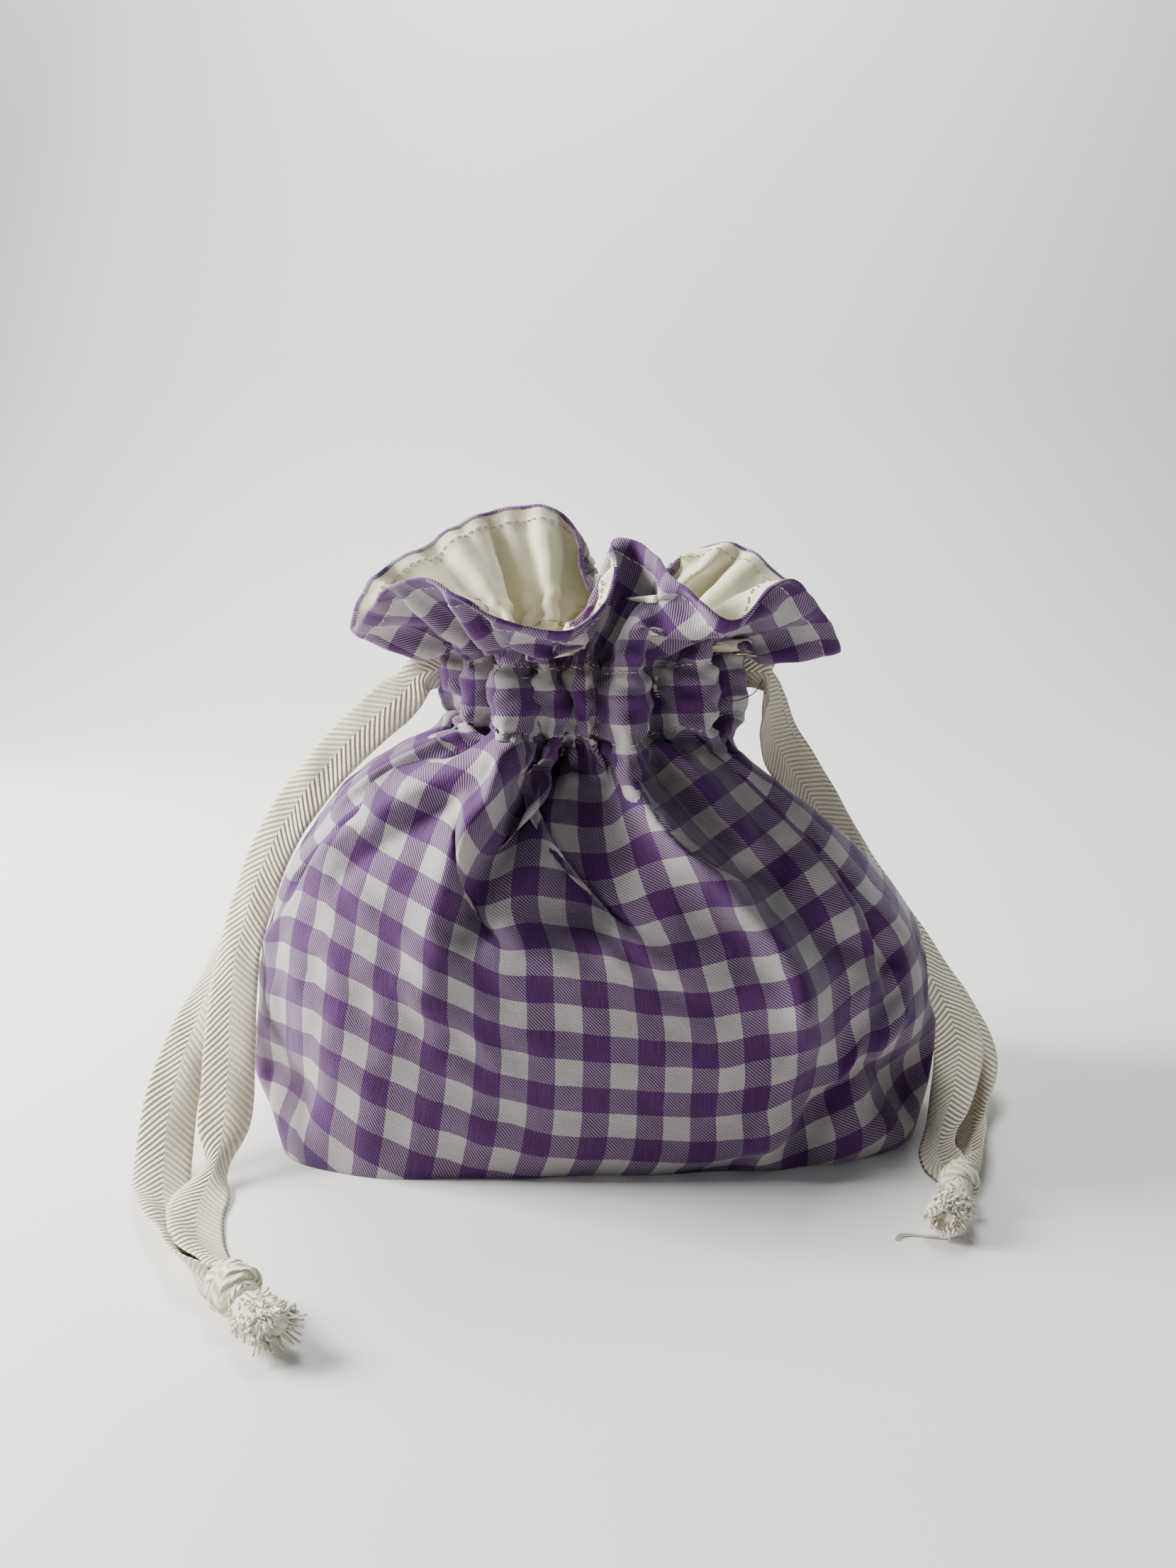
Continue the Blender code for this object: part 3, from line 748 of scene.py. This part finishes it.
def make_tape(name, route, knot_end, widths, material, pinches=(), bunched=0.42):
    """A flat tape along its route: rounded edges, a slight cup, bunched where the knot takes it."""
    path = smooth_curve(settle(route, knot_end), False)
    steps = int(np.linalg.norm(np.diff(path, axis=0), axis=1).sum() / 0.0014)
    share = np.linspace(0.0, 1.0, steps + 1)
    centre = read_along(path, share)
    tangent = unit(np.gradient(centre, axis=0))
    keys = np.array([key for key, _ in widths])
    aim = np.stack([np.interp(share, keys, [d[k] for _, d in widths]) for k in range(3)], axis=1)
    side = unit(aim - tangent * np.einsum("ij,ij->i", aim, tangent)[:, None])
    face = np.cross(tangent, side)
    length = share * np.linalg.norm(np.diff(centre, axis=0), axis=1).sum()
    width_at = [k / 12 - 0.5 for k in range(13)]
    profile = [(x, 0.5) for x in width_at] + [(x, -0.5) for x in width_at[::-1]]
    verts, faces, uvs = [], [], []
    sides = len(profile)
    narrow = 1.0 - bunched * np.clip((share - 0.88) / 0.10, 0.0, 1.0) ** 1.5
    narrow *= 1.0 - 0.35 * np.clip((0.09 - share) / 0.07, 0.0, 1.0)
    for at, amount, half in pinches:
        narrow *= 1.0 - amount * np.exp(-((share - at) / half) ** 2)
    for i in range(steps + 1):
        ripple = 0.0004 * math.sin(length[i] * 160.0) + 0.0003 * math.sin(length[i] * 61.0 + 1.0)
        for x, y in profile:
            edge = 1.0 - abs(2.0 * x) ** 8
            cup = (0.0009 + 0.0045 * (1.0 - narrow[i])) * (4.0 * x * x - 0.5)
            lift = cup + ripple * math.sin(7.0 * x + length[i] * 90.0)
            lift += y * TAPE_THICK * (0.35 + 0.65 * edge)
            place = centre[i] + side[i] * x * TAPE_WIDTH * narrow[i] + face[i] * lift
            if place[2] < NEAR_FLOOR:
                place[2] = NEAR_FLOOR * math.exp(place[2] / NEAR_FLOOR - 1.0)
            verts.append(tuple(place))
    across = [(profile[k][0] + 0.5, profile[(k + 1) % sides][0] + 0.5) for k in range(sides)]
    skin(faces, uvs, 0, sides, across, length)
    return uv_object(name, verts, faces, uvs, material), centre


def uv_object(name, verts, faces, uvs, material):
    mesh = bpy.data.meshes.new(name)
    mesh.from_pydata([tuple(v) for v in verts], [], faces)
    layer = mesh.uv_layers.new(name="cloth")
    layer.data.foreach_set("uv", np.array(uvs, dtype=np.float32).ravel())
    mesh.shade_smooth()
    mesh.materials.append(material)
    return put_in_scene(name, mesh)


def skin(faces, uvs, first, sides, across, along):
    """Adds the quads between rings of points, with caps: across and along are their UVs."""
    rings = len(along)
    for i in range(rings - 1):
        here, there = first + i * sides, first + (i + 1) * sides
        for k in range(sides):
            other = (k + 1) % sides
            faces.append((here + k, here + other, there + other, there + k))
            a, b = across[k]
            uvs += [(a, along[i]), (b, along[i]), (b, along[i + 1]), (a, along[i + 1])]
    ends = first, first + (rings - 1) * sides
    faces.append(tuple(ends[0] + k for k in range(sides))[::-1])
    faces.append(tuple(ends[1] + k for k in range(sides)))
    uvs += [(0.5, 0.0)] * (2 * sides)


def tube(verts, faces, uvs, path, radius, sides, flatten=1.0):
    """Adds a tube round a path to the lists; radius may change along it."""
    path = np.asarray(path)
    radius = np.broadcast_to(radius, len(path))
    tangent = unit(np.gradient(path, axis=0))
    first = len(verts)
    length = np.concatenate([[0.0], np.cumsum(np.linalg.norm(np.diff(path, axis=0), axis=1))])
    reference = np.array((0.0, 0.0, 1.0))
    for i, p in enumerate(path):
        across_dir = np.cross(tangent[i], reference)
        if np.linalg.norm(across_dir) < 1e-3:
            across_dir = np.cross(tangent[i], (1.0, 0.3, 0.0))
        across_dir = unit(across_dir)
        lift_dir = np.cross(across_dir, tangent[i])
        reference = lift_dir
        for k in range(sides):
            angle = 2.0 * math.pi * k / sides
            verts.append(p + radius[i] * (across_dir * math.cos(angle)
                                          + lift_dir * math.sin(angle) * flatten))
    across = [(2.0 * k / sides, 2.0 * (k + 1) / sides) for k in range(sides)]
    skin(faces, uvs, first, sides, across, length)


def knot_frame(heading):
    """Columns: along the knot's axis to its tail, level across it, and up."""
    along = unit(np.array([heading[0], heading[1], 0.0]))
    return np.stack([along, np.cross((0.0, 0.0, 1.0), along), np.array([0.0, 0.0, 1.0])], axis=1)


def make_knot(name, middle, heading, size, material):
    """A tight overhand knot: bunched tape wrapped round three times, over a core of the tape."""
    turn = knot_frame(heading)
    verts, faces, uvs = [], [], []
    wraps = (  # lean, sideways lean, place along, loop radius, half width, half thickness
        (0.55, 0.15, 0.0012, 0.0048, 0.0056, 0.0027),
        (-0.60, -0.25, -0.0040, 0.0040, 0.0042, 0.0026),
        (0.10, 0.75, 0.0030, 0.0030, 0.0036, 0.0024))
    around, sides = 64, 28
    for lean, sway, place, loop, half_width, half_thick in wraps:
        axis = unit(np.array([1.0, math.tan(lean), math.tan(sway) * 0.6]))
        first = unit(np.cross(axis, (0.0, 0.2, 1.0)))
        second = np.cross(axis, first)
        base = len(verts)
        for i in range(around):
            t = 2.0 * math.pi * i / around
            radial = math.cos(t) * first + math.sin(t) * second
            for j in range(sides):
                f = 2.0 * math.pi * j / sides
                pleat = 1.0 + 0.10 * math.cos(7.0 * f + 0.8 * math.sin(t))
                pleat += 0.05 * math.sin(3.0 * t)
                point = (np.array([place, 0.0, 0.0])
                         + radial * (loop + half_thick * pleat * math.cos(f))
                         + axis * half_width * math.sin(f)
                         * (1.0 + 0.12 * math.sin(2.0 * t + lean)))
                verts.append(list(turn @ (point * size) + np.array(middle)))
        for i in range(around):
            for j in range(sides):
                i2, j2 = (i + 1) % around, (j + 1) % sides
                faces.append((base + i * sides + j, base + i2 * sides + j,
                              base + i2 * sides + j2, base + i * sides + j2))
                step = 2.0 * math.pi * loop / around
                uvs += [(j / sides, i * step), (j / sides, (i + 1) * step),
                        ((j + 1) / sides, (i + 1) * step), ((j + 1) / sides, i * step)]
    core = [(x, 0.0, 0.0) for x in (-0.0085, -0.003, 0.003, 0.0085)]
    path = read_along(smooth_curve(core, False), np.linspace(0.0, 1.0, 20)) * size
    swell = (0.0046 + 0.0006 * np.sin(np.linspace(0.0, 9.0, 20))) * size
    tube(verts, faces, uvs, path @ turn.T + np.array(middle), swell, 20)
    for vert in verts:
        vert[2] = max(vert[2], 0.0003)
    return uv_object(name, verts, faces, uvs, material)


def make_tail(name, start, heading, length, radius, bend, material, seed, loose=()):
    """The two cut ends: rolled tape with deep folds, frayed into loose yarns."""
    random = np.random.default_rng(seed)
    turn = knot_frame(heading)
    verts, faces, uvs = [], [], []
    s = np.linspace(0.0, 1.0, 26)
    spine = np.stack([length * s, bend * s ** 2, -0.0012 * s], axis=1)
    for k in range(7):
        angle = 2.0 * math.pi * k / 7 + 0.4
        spread = radius * (0.42 + 0.30 * s)
        wander = 0.35 * np.sin(3.0 * s + k)
        offset = np.stack([0.0 * s, spread * np.cos(angle + wander),
                           0.8 * spread * np.sin(angle + wander)], axis=1)
        local = spine + offset
        local[:, 0] *= 0.90 + 0.03 * (k % 4)
        closing = np.sqrt(np.clip(1.0 - ((s - 0.80) / 0.205) ** 2, 0.02, 1.0))
        closing[s < 0.80] = 1.0
        tube(verts, faces, uvs, local @ turn.T + np.array(start),
             radius * (0.44 + 0.12 * s) * closing, 12, 0.85)
    for _ in range(460):
        angle = random.uniform(0.0, 2.0 * math.pi)
        out = radius * math.sqrt(random.uniform(0.30, 1.0)) * 1.12
        begin = random.uniform(0.22, 0.90)
        reach = random.uniform(0.10, 0.30)
        q = np.linspace(0.0, 1.0, 7)
        base = np.array([length * begin, bend * begin ** 2, -0.001])
        radial = np.array([0.0, math.cos(angle), 0.85 * math.sin(angle)])
        flare = random.uniform(0.0, 0.5)
        curl = random.normal(0.0, 0.30, 3)
        local = base + radial * out + np.outer(q, [1.0, 0.0, 0.0]) * length * reach
        local += np.outer(q ** 1.6, radial) * radius * flare
        local += np.outer(q ** 2, curl) * length * 0.12
        world = local @ turn.T + np.array(start)
        world[:, 2] = np.maximum(world[:, 2], 0.0006)
        tube(verts, faces, uvs, world, random.uniform(0.00030, 0.00048), 5)
    if loose:
        yarn = read_along(smooth_curve(loose, False), np.linspace(0.0, 1.0, 40))
        tube(verts, faces, uvs, yarn, 0.0005, 6)
    for vert in verts:
        vert[2] = max(vert[2], 0.0002)
    return uv_object(name, verts, faces, uvs, material)


# ---- fine surface ------------------------------------------------------------------------

def read_grid(grid, row_at, col_at):
    """The grid at fractional rows and columns, by Catmull-Rom both ways; columns wrap round."""
    def weights(t):
        return (0.5 * (-t + 2 * t ** 2 - t ** 3), 0.5 * (2 - 5 * t ** 2 + 3 * t ** 3),
                0.5 * (t + 4 * t ** 2 - 3 * t ** 3), 0.5 * (-t ** 2 + t ** 3))
    rows, cols = grid.shape[:2]
    tail = (1,) * (grid.ndim - 2)
    base = np.clip(np.floor(row_at).astype(int), 0, max(rows - 2, 0))
    part = (row_at - base).reshape((-1, 1) + tail)
    tall = sum(w * grid[np.clip(base + k, 0, rows - 1)]
               for k, w in zip((-1, 0, 1, 2), weights(part)))
    base = np.floor(col_at).astype(int)
    part = (col_at - base).reshape((1, -1) + tail)
    return sum(w * tall[:, (base + k) % cols] for k, w in zip((-1, 0, 1, 2), weights(part)))


def ridge(value, middle, half_width):
    return np.exp(-((value - middle) / half_width) ** 2)


RIM_STITCH = CLOTH_HEIGHT - 0.0065


def add_wrinkles(points, u, v):
    """Grooves and puckers at the seams, soft dents and the side seams."""
    turns = 2.0 * np.pi * u / GIRTH
    pucker = np.sin(turns * 128.0 + 1.5 * np.sin(turns * 31.0))
    low = ridge(v, CASING_LOW, 0.0016)
    high = ridge(v, CASING_HIGH, 0.0016)
    hem = ridge(v, RIM_STITCH, 0.0013)
    lift = -0.0009 * (low + high) - 0.00035 * hem
    lift += 0.00045 * pucker * (ridge(v, CASING_LOW, 0.004) + ridge(v, CASING_HIGH, 0.004))
    lift += 0.00022 * pucker * ridge(v, RIM_STITCH, 0.004)
    dents = np.sin(turns * 23.0 + 260.0 * v) * np.sin(turns * 9.0 - 140.0 * v + 1.0)
    dents += 0.6 * np.sin(turns * 41.0 - 330.0 * v + 2.0) * np.sin(turns * 17.0 + 90.0 * v)
    neck = np.clip((v - 0.196) / 0.012, 0.0, 1.0) * np.clip((0.262 - v) / 0.012, 0.0, 1.0)
    crumple = np.sin(turns * 19.0 + 420.0 * v + 2.0 * np.sin(turns * 5.0))
    crumple = crumple * np.sin(330.0 * v + turns * 8.0)
    crumple += 0.7 * np.sin(turns * 33.0 - 300.0 * v) * np.sin(turns * 13.0 + 500.0 * v + 1.0)
    pleats = ridge(u, 0.018, 0.055) * (0.6 + 0.4 * np.sin(turns * 6.0 + 150.0 * v))
    pleats = 1.3 * pleats * np.sin(turns * 44.0 + 1.5 * np.sin(turns * 9.0) + 90.0 * v)
    lift += 0.0010 * neck * (crumple + pleats)
    lift += 0.00028 * dents * np.clip((v - 0.02) / 0.05, 0.0, 1.0)
    for seam in (-0.25, 0.25):
        away = (u / GIRTH - seam + 0.5) % 1.0 - 0.5
        lift += -0.0007 * ridge(away * GIRTH, 0.0, 0.0013) * (v < CASING_LOW)
    return points + surface_normals(points) * lift[:, :, None]


def rolled_rim(points, v):
    """Three more rows that turn the shell's cloth over the rim to the inside."""
    normal = surface_normals(points)[-1]
    up = unit(points[-1] - points[-2])
    turns = ((0.0006, -0.0006), (0.0004, -0.0013), (-0.0012, -0.0015))
    extra = [points[-1] + up * rise + normal * inside for rise, inside in turns]
    more_v = [v[-1] + 0.0008 * (k + 1) for k in range(len(extra))]
    return np.concatenate([points, np.array(extra)]), np.concatenate([v, np.array(more_v)])


def round_quads(rows, cols):
    """The faces of a grid of rows that close round on themselves."""
    index = np.arange(rows * cols).reshape(rows, cols)
    nxt = np.roll(index, -1, axis=1)
    return np.stack([index[:-1], nxt[:-1], nxt[1:], index[1:]], axis=-1).reshape(-1, 4).tolist()


def cloth_object(name, points, u, v, material, close_base):
    """A closed-round tube of quads with cloth coordinates in metres as UVs."""
    rows, cols = points.shape[:2]
    faces = round_quads(rows, cols)
    u_left = np.broadcast_to(u, (rows, cols))[:-1]
    u_right, v_next = u_left + GIRTH / cols, np.roll(v, -1, axis=1)
    corners = ((u_left, v[:-1]), (u_right, v_next[:-1]), (u_right, v_next[1:]), (u_left, v[1:]))
    uvs = np.stack([np.stack(c, axis=-1) for c in corners], axis=2).reshape(-1, 2).tolist()
    verts = points.reshape(-1, 3).tolist()
    if close_base:
        previous = list(range(cols))
        for level in range(1, 6):
            shrink = 1.0 - level / 5.5
            ids = list(range(len(verts), len(verts) + cols))
            verts += [(p[0] * shrink, p[1] * shrink, p[2]) for p in points[0]]
            for k in range(cols):
                m = (k + 1) % cols
                quad = (previous[m], previous[k], ids[k], ids[m])
                faces.append(quad)
                uvs += [(verts[i][0], verts[i][1]) for i in quad]
            previous = ids
        faces.append(tuple(reversed(previous)))
        uvs += [(verts[i][0], verts[i][1]) for i in reversed(previous)]
    return uv_object(name, verts, faces, uvs, material)


def make_stitches(name, points, u, v_rows, heights, lift, material, length=0.0024, gap=0.0010):
    """Rows of small stitches that lie on the cloth and dip into it at both ends."""
    rows, cols = points.shape[:2]
    normal = surface_normals(points)
    verts, faces, uvs = [], [], []
    count = int(GIRTH / (length + gap))
    q = np.linspace(0.0, 1.0, 6)
    for height in heights:
        row = np.interp(height, v_rows, np.arange(rows))
        for k in range(count):
            col = (k + q * length / (length + gap)) * cols / count
            place = read_grid(points, np.full(1, row), col)[0]
            out = unit(read_grid(normal, np.full(1, row), col)[0])
            rise = lift * (np.sin(np.pi * q) ** 0.5 - 0.55)
            tube(verts, faces, uvs, place + out * rise[:, None], 0.00021, 5)
    return uv_object(name, verts, faces, uvs, material)


def make_thread(name, route, radius, material):
    verts, faces, uvs = [], [], []
    path = read_along(smooth_curve(route, False), np.linspace(0, 1, 40))
    tube(verts, faces, uvs, path, radius, 5)
    return uv_object(name, verts, faces, uvs, material)


# ---- stage -------------------------------------------------------------------------------

def plain_surface(name, colour, roughness):
    material = bpy.data.materials.new(name)
    material.use_nodes = True
    shader = material.node_tree.nodes["Principled BSDF"]
    shader.inputs["Base Color"].default_value = colour
    shader.inputs["Roughness"].default_value = roughness
    return material


def add_stage():
    """A pale floor that sweeps up into a plain backdrop."""
    profile = [(-1.6, 0.0), (0.9, 0.0)]
    for k in range(1, 13):
        angle = math.pi / 2 * k / 12
        profile.append((0.9 + 0.5 * math.sin(angle), 0.5 - 0.5 * math.cos(angle)))
    profile.append((1.4, 2.4))
    verts = [(x, y, z) for y, z in profile for x in (-3.0, 3.0)]
    faces = [(2 * k, 2 * k + 1, 2 * k + 3, 2 * k + 2) for k in range(len(profile) - 1)]
    mesh = bpy.data.meshes.new("floor")
    mesh.from_pydata(verts, [], faces)
    mesh.shade_smooth()
    mesh.materials.append(plain_surface("floor", (0.80, 0.79, 0.77, 1.0), 0.6))
    put_in_scene("floor", mesh)


def add_light(name, place, aim, size, power, colour):
    data = bpy.data.lights.new(name, "AREA")
    data.size = size
    data.energy = power
    data.color = colour
    light = put_in_scene(name, data)
    light.location = place
    light.rotation_euler = (Vector(aim) - Vector(place)).to_track_quat("-Z", "Y").to_euler()


def add_lights():
    add_light("window", (-1.02, 0.16, 0.66), (0.0, 0.0, 0.10), 0.50, 50.0, (1.0, 0.99, 0.97))
    add_light("backdrop", (0.0, 0.8, 2.0), (0.1, 1.4, 0.6), 0.8, 52.0, (0.95, 0.98, 1.0))
    world = bpy.data.worlds.new("world")
    bpy.context.scene.world = world
    world.use_nodes = True
    background = world.node_tree.nodes["Background"]
    background.inputs[0].default_value = (0.86, 0.92, 1.0, 1.0)
    background.inputs[1].default_value = 0.155


# ---- the pouch ---------------------------------------------------------------------------

FINE_ROWS, FINE_COLUMNS = 200, 400
LINING_DEPTH = 0.0013
BAND_DEPTH = 0.0009                  # how far under the shell the tapes run in the casing
LEFT_BAND, RIGHT_BAND = 0.2205, 0.2315   # and how far up the cloth


def channel_band(name, outer, u, v, height, material):
    """The tape inside the casing, between the shell and the lining."""
    normal = surface_normals(outer)
    rows_v = v.mean(axis=1)
    rise = np.linspace(0.0, 0.0085, 10)
    at = np.interp(height + rise, rows_v, np.arange(len(rows_v)))
    cols = np.arange(outer.shape[1])
    band = read_grid(outer, at, cols) - read_grid(normal, at, cols) * BAND_DEPTH
    band_v = np.broadcast_to(rise[:, None], (len(rise), len(cols)))
    return cloth_object(name, band, u, band_v, material, False)


def stay_this_side(tree, starts, ends, keep):
    """Ends pulled back along their lines to keep of the way to whatever cloth lies between."""
    flat_starts, flat_ends = starts.reshape(-1, 3), ends.reshape(-1, 3).copy()
    lines = flat_ends - flat_starts
    lengths = np.linalg.norm(lines, axis=1)
    for k in range(len(flat_ends)):
        if lengths[k] > 1e-6:
            line = Vector(lines[k] / lengths[k])
            hit = tree.ray_cast(Vector(flat_starts[k]), line, lengths[k] + 0.0006)
            if hit[3] is not None:
                flat_ends[k] = flat_starts[k] + lines[k] / lengths[k] * hit[3] * keep
    return flat_ends.reshape(ends.shape)


def behind_shell(tree, points, gap):
    """Points brought inside the first cloth that is met on the way in from the side."""
    flat = points.reshape(-1, 3).copy()
    for k, (x, y, z) in enumerate(flat):
        reach = math.hypot(x, y)
        if reach > 0.004:
            way = Vector((x / reach, y / reach, 0.0))
            hit = tree.ray_cast(way * 0.25 + Vector((0.0, 0.0, z)), -way, 0.25)
            if hit[3] is not None and reach > 0.25 - hit[3] - gap * 0.5:
                flat[k, :2] *= (0.25 - hit[3] - gap) / reach
    return flat.reshape(points.shape)


def lining_inside(outer, v):
    """The lining: close under the shell at the ruffle, and a smooth bag free of its folds below."""
    depth = 0.0006 + (LINING_DEPTH - 0.0006) * np.clip((v - 0.252) / 0.020, 0.0, 1.0)
    close = outer - surface_normals(soften(outer, 2, 0.5)) * depth[:, :, None]
    smooth = soften(outer, 60, 0.5)
    wide, tall = 120, 70                 # cells of a table of the shell's least reach

    def cells_of(points):
        turns = np.arctan2(points[..., 1], points[..., 0]) / (2.0 * np.pi) % 1.0
        return ((turns * wide).astype(int) % wide,
                np.clip((points[..., 2] / 0.21 * tall).astype(int), 0, tall - 1))

    least = np.full((wide, tall), 1.0)
    np.minimum.at(least, cells_of(outer), np.hypot(outer[..., 0], outer[..., 1]))
    wider = least.copy()
    for side in (-2, -1, 0, 1, 2):
        for up in (-1, 0, 1):
            wider = np.minimum(wider, np.roll(np.roll(least, side, axis=0), up, axis=1))
    reach = np.hypot(smooth[..., 0], smooth[..., 1])
    limit = wider[cells_of(smooth)]
    inside = np.minimum(reach, limit) - 0.002
    for _ in range(12):
        inside = 0.5 * inside + 0.25 * (np.roll(inside, 1, axis=1) + np.roll(inside, -1, axis=1))
    inside = np.maximum(np.minimum(inside, limit - 0.001), 0.006)
    free = smooth.copy()
    free[..., :2] *= (inside / reach)[..., None]
    share = np.clip((v - CASING_HIGH + 0.016) / 0.010, 0.0, 1.0)[:, :, None]
    inner = free + (close - free) * share
    inner[:, :, 2] = np.maximum(inner[:, :, 2], 0.0016)
    tree = BVHTree.FromPolygons(outer.reshape(-1, 3).tolist(), round_quads(*outer.shape[:2]))
    level = int(np.searchsorted(v.mean(axis=1), CASING_HIGH - 0.005))
    normal = surface_normals(outer)
    just_inside = outer[level:] - normal[level:] * 0.0001
    inner[level:] = stay_this_side(tree, just_inside, inner[level:], 0.45)
    axis = inner[:level].copy()
    axis[..., 0], axis[..., 1] = 0.001, -0.003
    inner[:level] = stay_this_side(tree, axis, inner[:level], 0.96)
    first, last = (int(np.searchsorted(v.mean(axis=1), at)) for at in (0.120, 0.277))
    inner[first:last] = behind_shell(tree, inner[first:last], 0.0008)
    return inner


def relaxed_cloth():
    cloth_v = row_heights()
    smooth = first_shape(cloth_v)
    start = draw_up(smooth, cloth_v)
    steps = RELAX_STEPS
    points = relax(start, smooth, cloth_v, steps, sight_targets(cloth_v))
    points = even_out(points)
    carve(points, 0.7)
    return points, cloth_v


def fine_cloth(points, cloth_v, rows, columns):
    row_at = np.linspace(0.0, len(points) - 1.0, rows)
    col_at = np.arange(columns) * COLUMNS / columns
    fine = read_grid(points, row_at, col_at)
    v = read_grid(cloth_v[:, :, None], row_at, col_at)[:, :, 0]
    u = (col_at / COLUMNS - 0.25) * GIRTH
    return add_wrinkles(fine, u[None, :], v), u, v


def make_pouch(materials):
    points, cloth_v = relaxed_cloth()
    outer, u, v = fine_cloth(points, cloth_v, FINE_ROWS, FINE_COLUMNS)
    rolled, rolled_v = rolled_rim(outer, v)
    shell = cloth_object("gingham_shell", rolled, u, rolled_v, materials["gingham"], True)
    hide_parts("outer_shell")

    lining = cloth_object("cream_lining", lining_inside(outer, v), u, v, materials["lining"], True)
    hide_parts("lining")

    bands = [channel_band("left_channel_tape", outer, u, v, LEFT_BAND, materials["tape"]),
             channel_band("right_channel_tape", outer, u, v, RIGHT_BAND, materials["tape"])]
    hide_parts("drawstring_left_channel")
    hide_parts("drawstring_right_channel")

    top = slice(int(FINE_ROWS * 0.6), FINE_ROWS)
    rows_v = v[top].mean(axis=1)
    outer_seams = make_stitches("shell_stitches", outer[top], u, rows_v,
                                (CASING_LOW, CASING_HIGH, RIM_STITCH), 0.0005, materials["thread"])
    inside = outer[top] - surface_normals(outer[top]) * LINING_DEPTH
    # These stitches use the darker hem thread, whose colour is painted shade for the dents where
    # they dip into the lining.
    inner_seams = make_stitches("lining_stitches", inside, u, rows_v,
                                (CASING_HIGH, RIM_STITCH), -0.0008, materials["hem"])
    loose = make_thread("loose_thread", LOOSE_THREAD, 0.00022, materials["dark"])
    return [shell, lining, outer_seams, inner_seams, loose] + bands


# The middle of each knot and the way that its tail points.
LEFT_KNOT = ((-0.1151, -0.1400, 0.0098), (0.62, -0.78))
RIGHT_KNOT = ((0.1240, -0.0930, 0.0098), (-0.45, -0.89))

# Where a tape turns over and shows narrow: share of its length, how much, over what share.
TWISTS = {("left", "front"): ((0.735, 0.55, 0.030),), ("right", "back"): ((0.80, 0.35, 0.05),)}

# A single yarn pulled out of the right tail, and a dark thread under the ruffle at the right.
LOOSE_YARN = ((0.1160, -0.1060, 0.004), (0.1120, -0.1115, 0.0015), (0.1070, -0.1112, 0.0008),
              (0.1020, -0.1098, 0.0008), (0.0975, -0.1100, 0.0008), (0.0950, -0.1122, 0.0008))
LOOSE_THREAD = ((0.062, -0.030, 0.1790), (0.0590, -0.031, 0.1745), (0.0550, -0.031, 0.1722),
                (0.0500, -0.030, 0.1710), (0.0470, -0.028, 0.1725))


def make_drawstring(side, front, back, front_width, back_width, knot_at, size, tail, material,
                    fluff, loose=()):
    middle, heading = knot_at
    knot = make_knot(side + "_knot", middle, heading, size, material)
    length, radius, bend, seed = tail
    turn = knot_frame(heading)
    start = np.array(middle) + turn[:, 0] * 0.0045 * size
    frayed = make_tail(side + "_frayed_tail", start, heading, length, radius, bend, fluff, seed,
                       loose)
    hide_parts("drawstring_%s_knot" % side)
    pieces = [knot, frayed]
    knot_end = np.array(middle) - turn[:, 0] * 0.004
    for part, route, widths in (("front", front, front_width), ("back", back, back_width)):
        tape, path = make_tape("%s_%s_tape" % (side, part), route, knot_end, widths, material,
                               TWISTS.get((side, part), ()))
        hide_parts("drawstring_%s_%s_strand" % (side, part))
        pieces.append(tape)
    return pieces


def main():
    add_camera()
    materials = {"gingham": gingham_material(), "lining": plain_material(), "tape": tape_material()}
    for key, name, dark, light in (
            ("thread", "sewing_thread", (0.55, 0.52, 0.46), (0.80, 0.78, 0.72)),
            # The hem thread's darker colour is painted shade: it stands in for the shadowed dashes
            # where the lining stitches dip into the cloth.
            ("hem", "hem_thread_painted_shade", (0.30, 0.26, 0.18), (0.50, 0.45, 0.33)),
            ("fluff", "frayed_cotton", (0.74, 0.69, 0.57), (0.88, 0.84, 0.74)),
            ("dark", "dark_thread", (0.03, 0.02, 0.04), (0.10, 0.07, 0.12))):
        materials[key] = thread_material(name, dark, light)
    pieces = make_drawstring("left", LEFT_FRONT_ROUTE, LEFT_BACK_ROUTE, LEFT_FRONT_WIDTH,
                             LEFT_BACK_WIDTH, LEFT_KNOT, 1.0, (0.0200, 0.0052, 0.002, 5),
                             materials["tape"], materials["fluff"])
    pieces += make_drawstring("right", RIGHT_FRONT_ROUTE, RIGHT_BACK_ROUTE, RIGHT_FRONT_WIDTH,
                              RIGHT_BACK_WIDTH, RIGHT_KNOT, 0.9, (0.0200, 0.0046, -0.004, 9),
                              materials["tape"], materials["fluff"], LOOSE_YARN)
    pieces += make_pouch(materials)
    for piece in pieces:
        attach(piece, "root")
    add_stage()
    add_lights()


main()
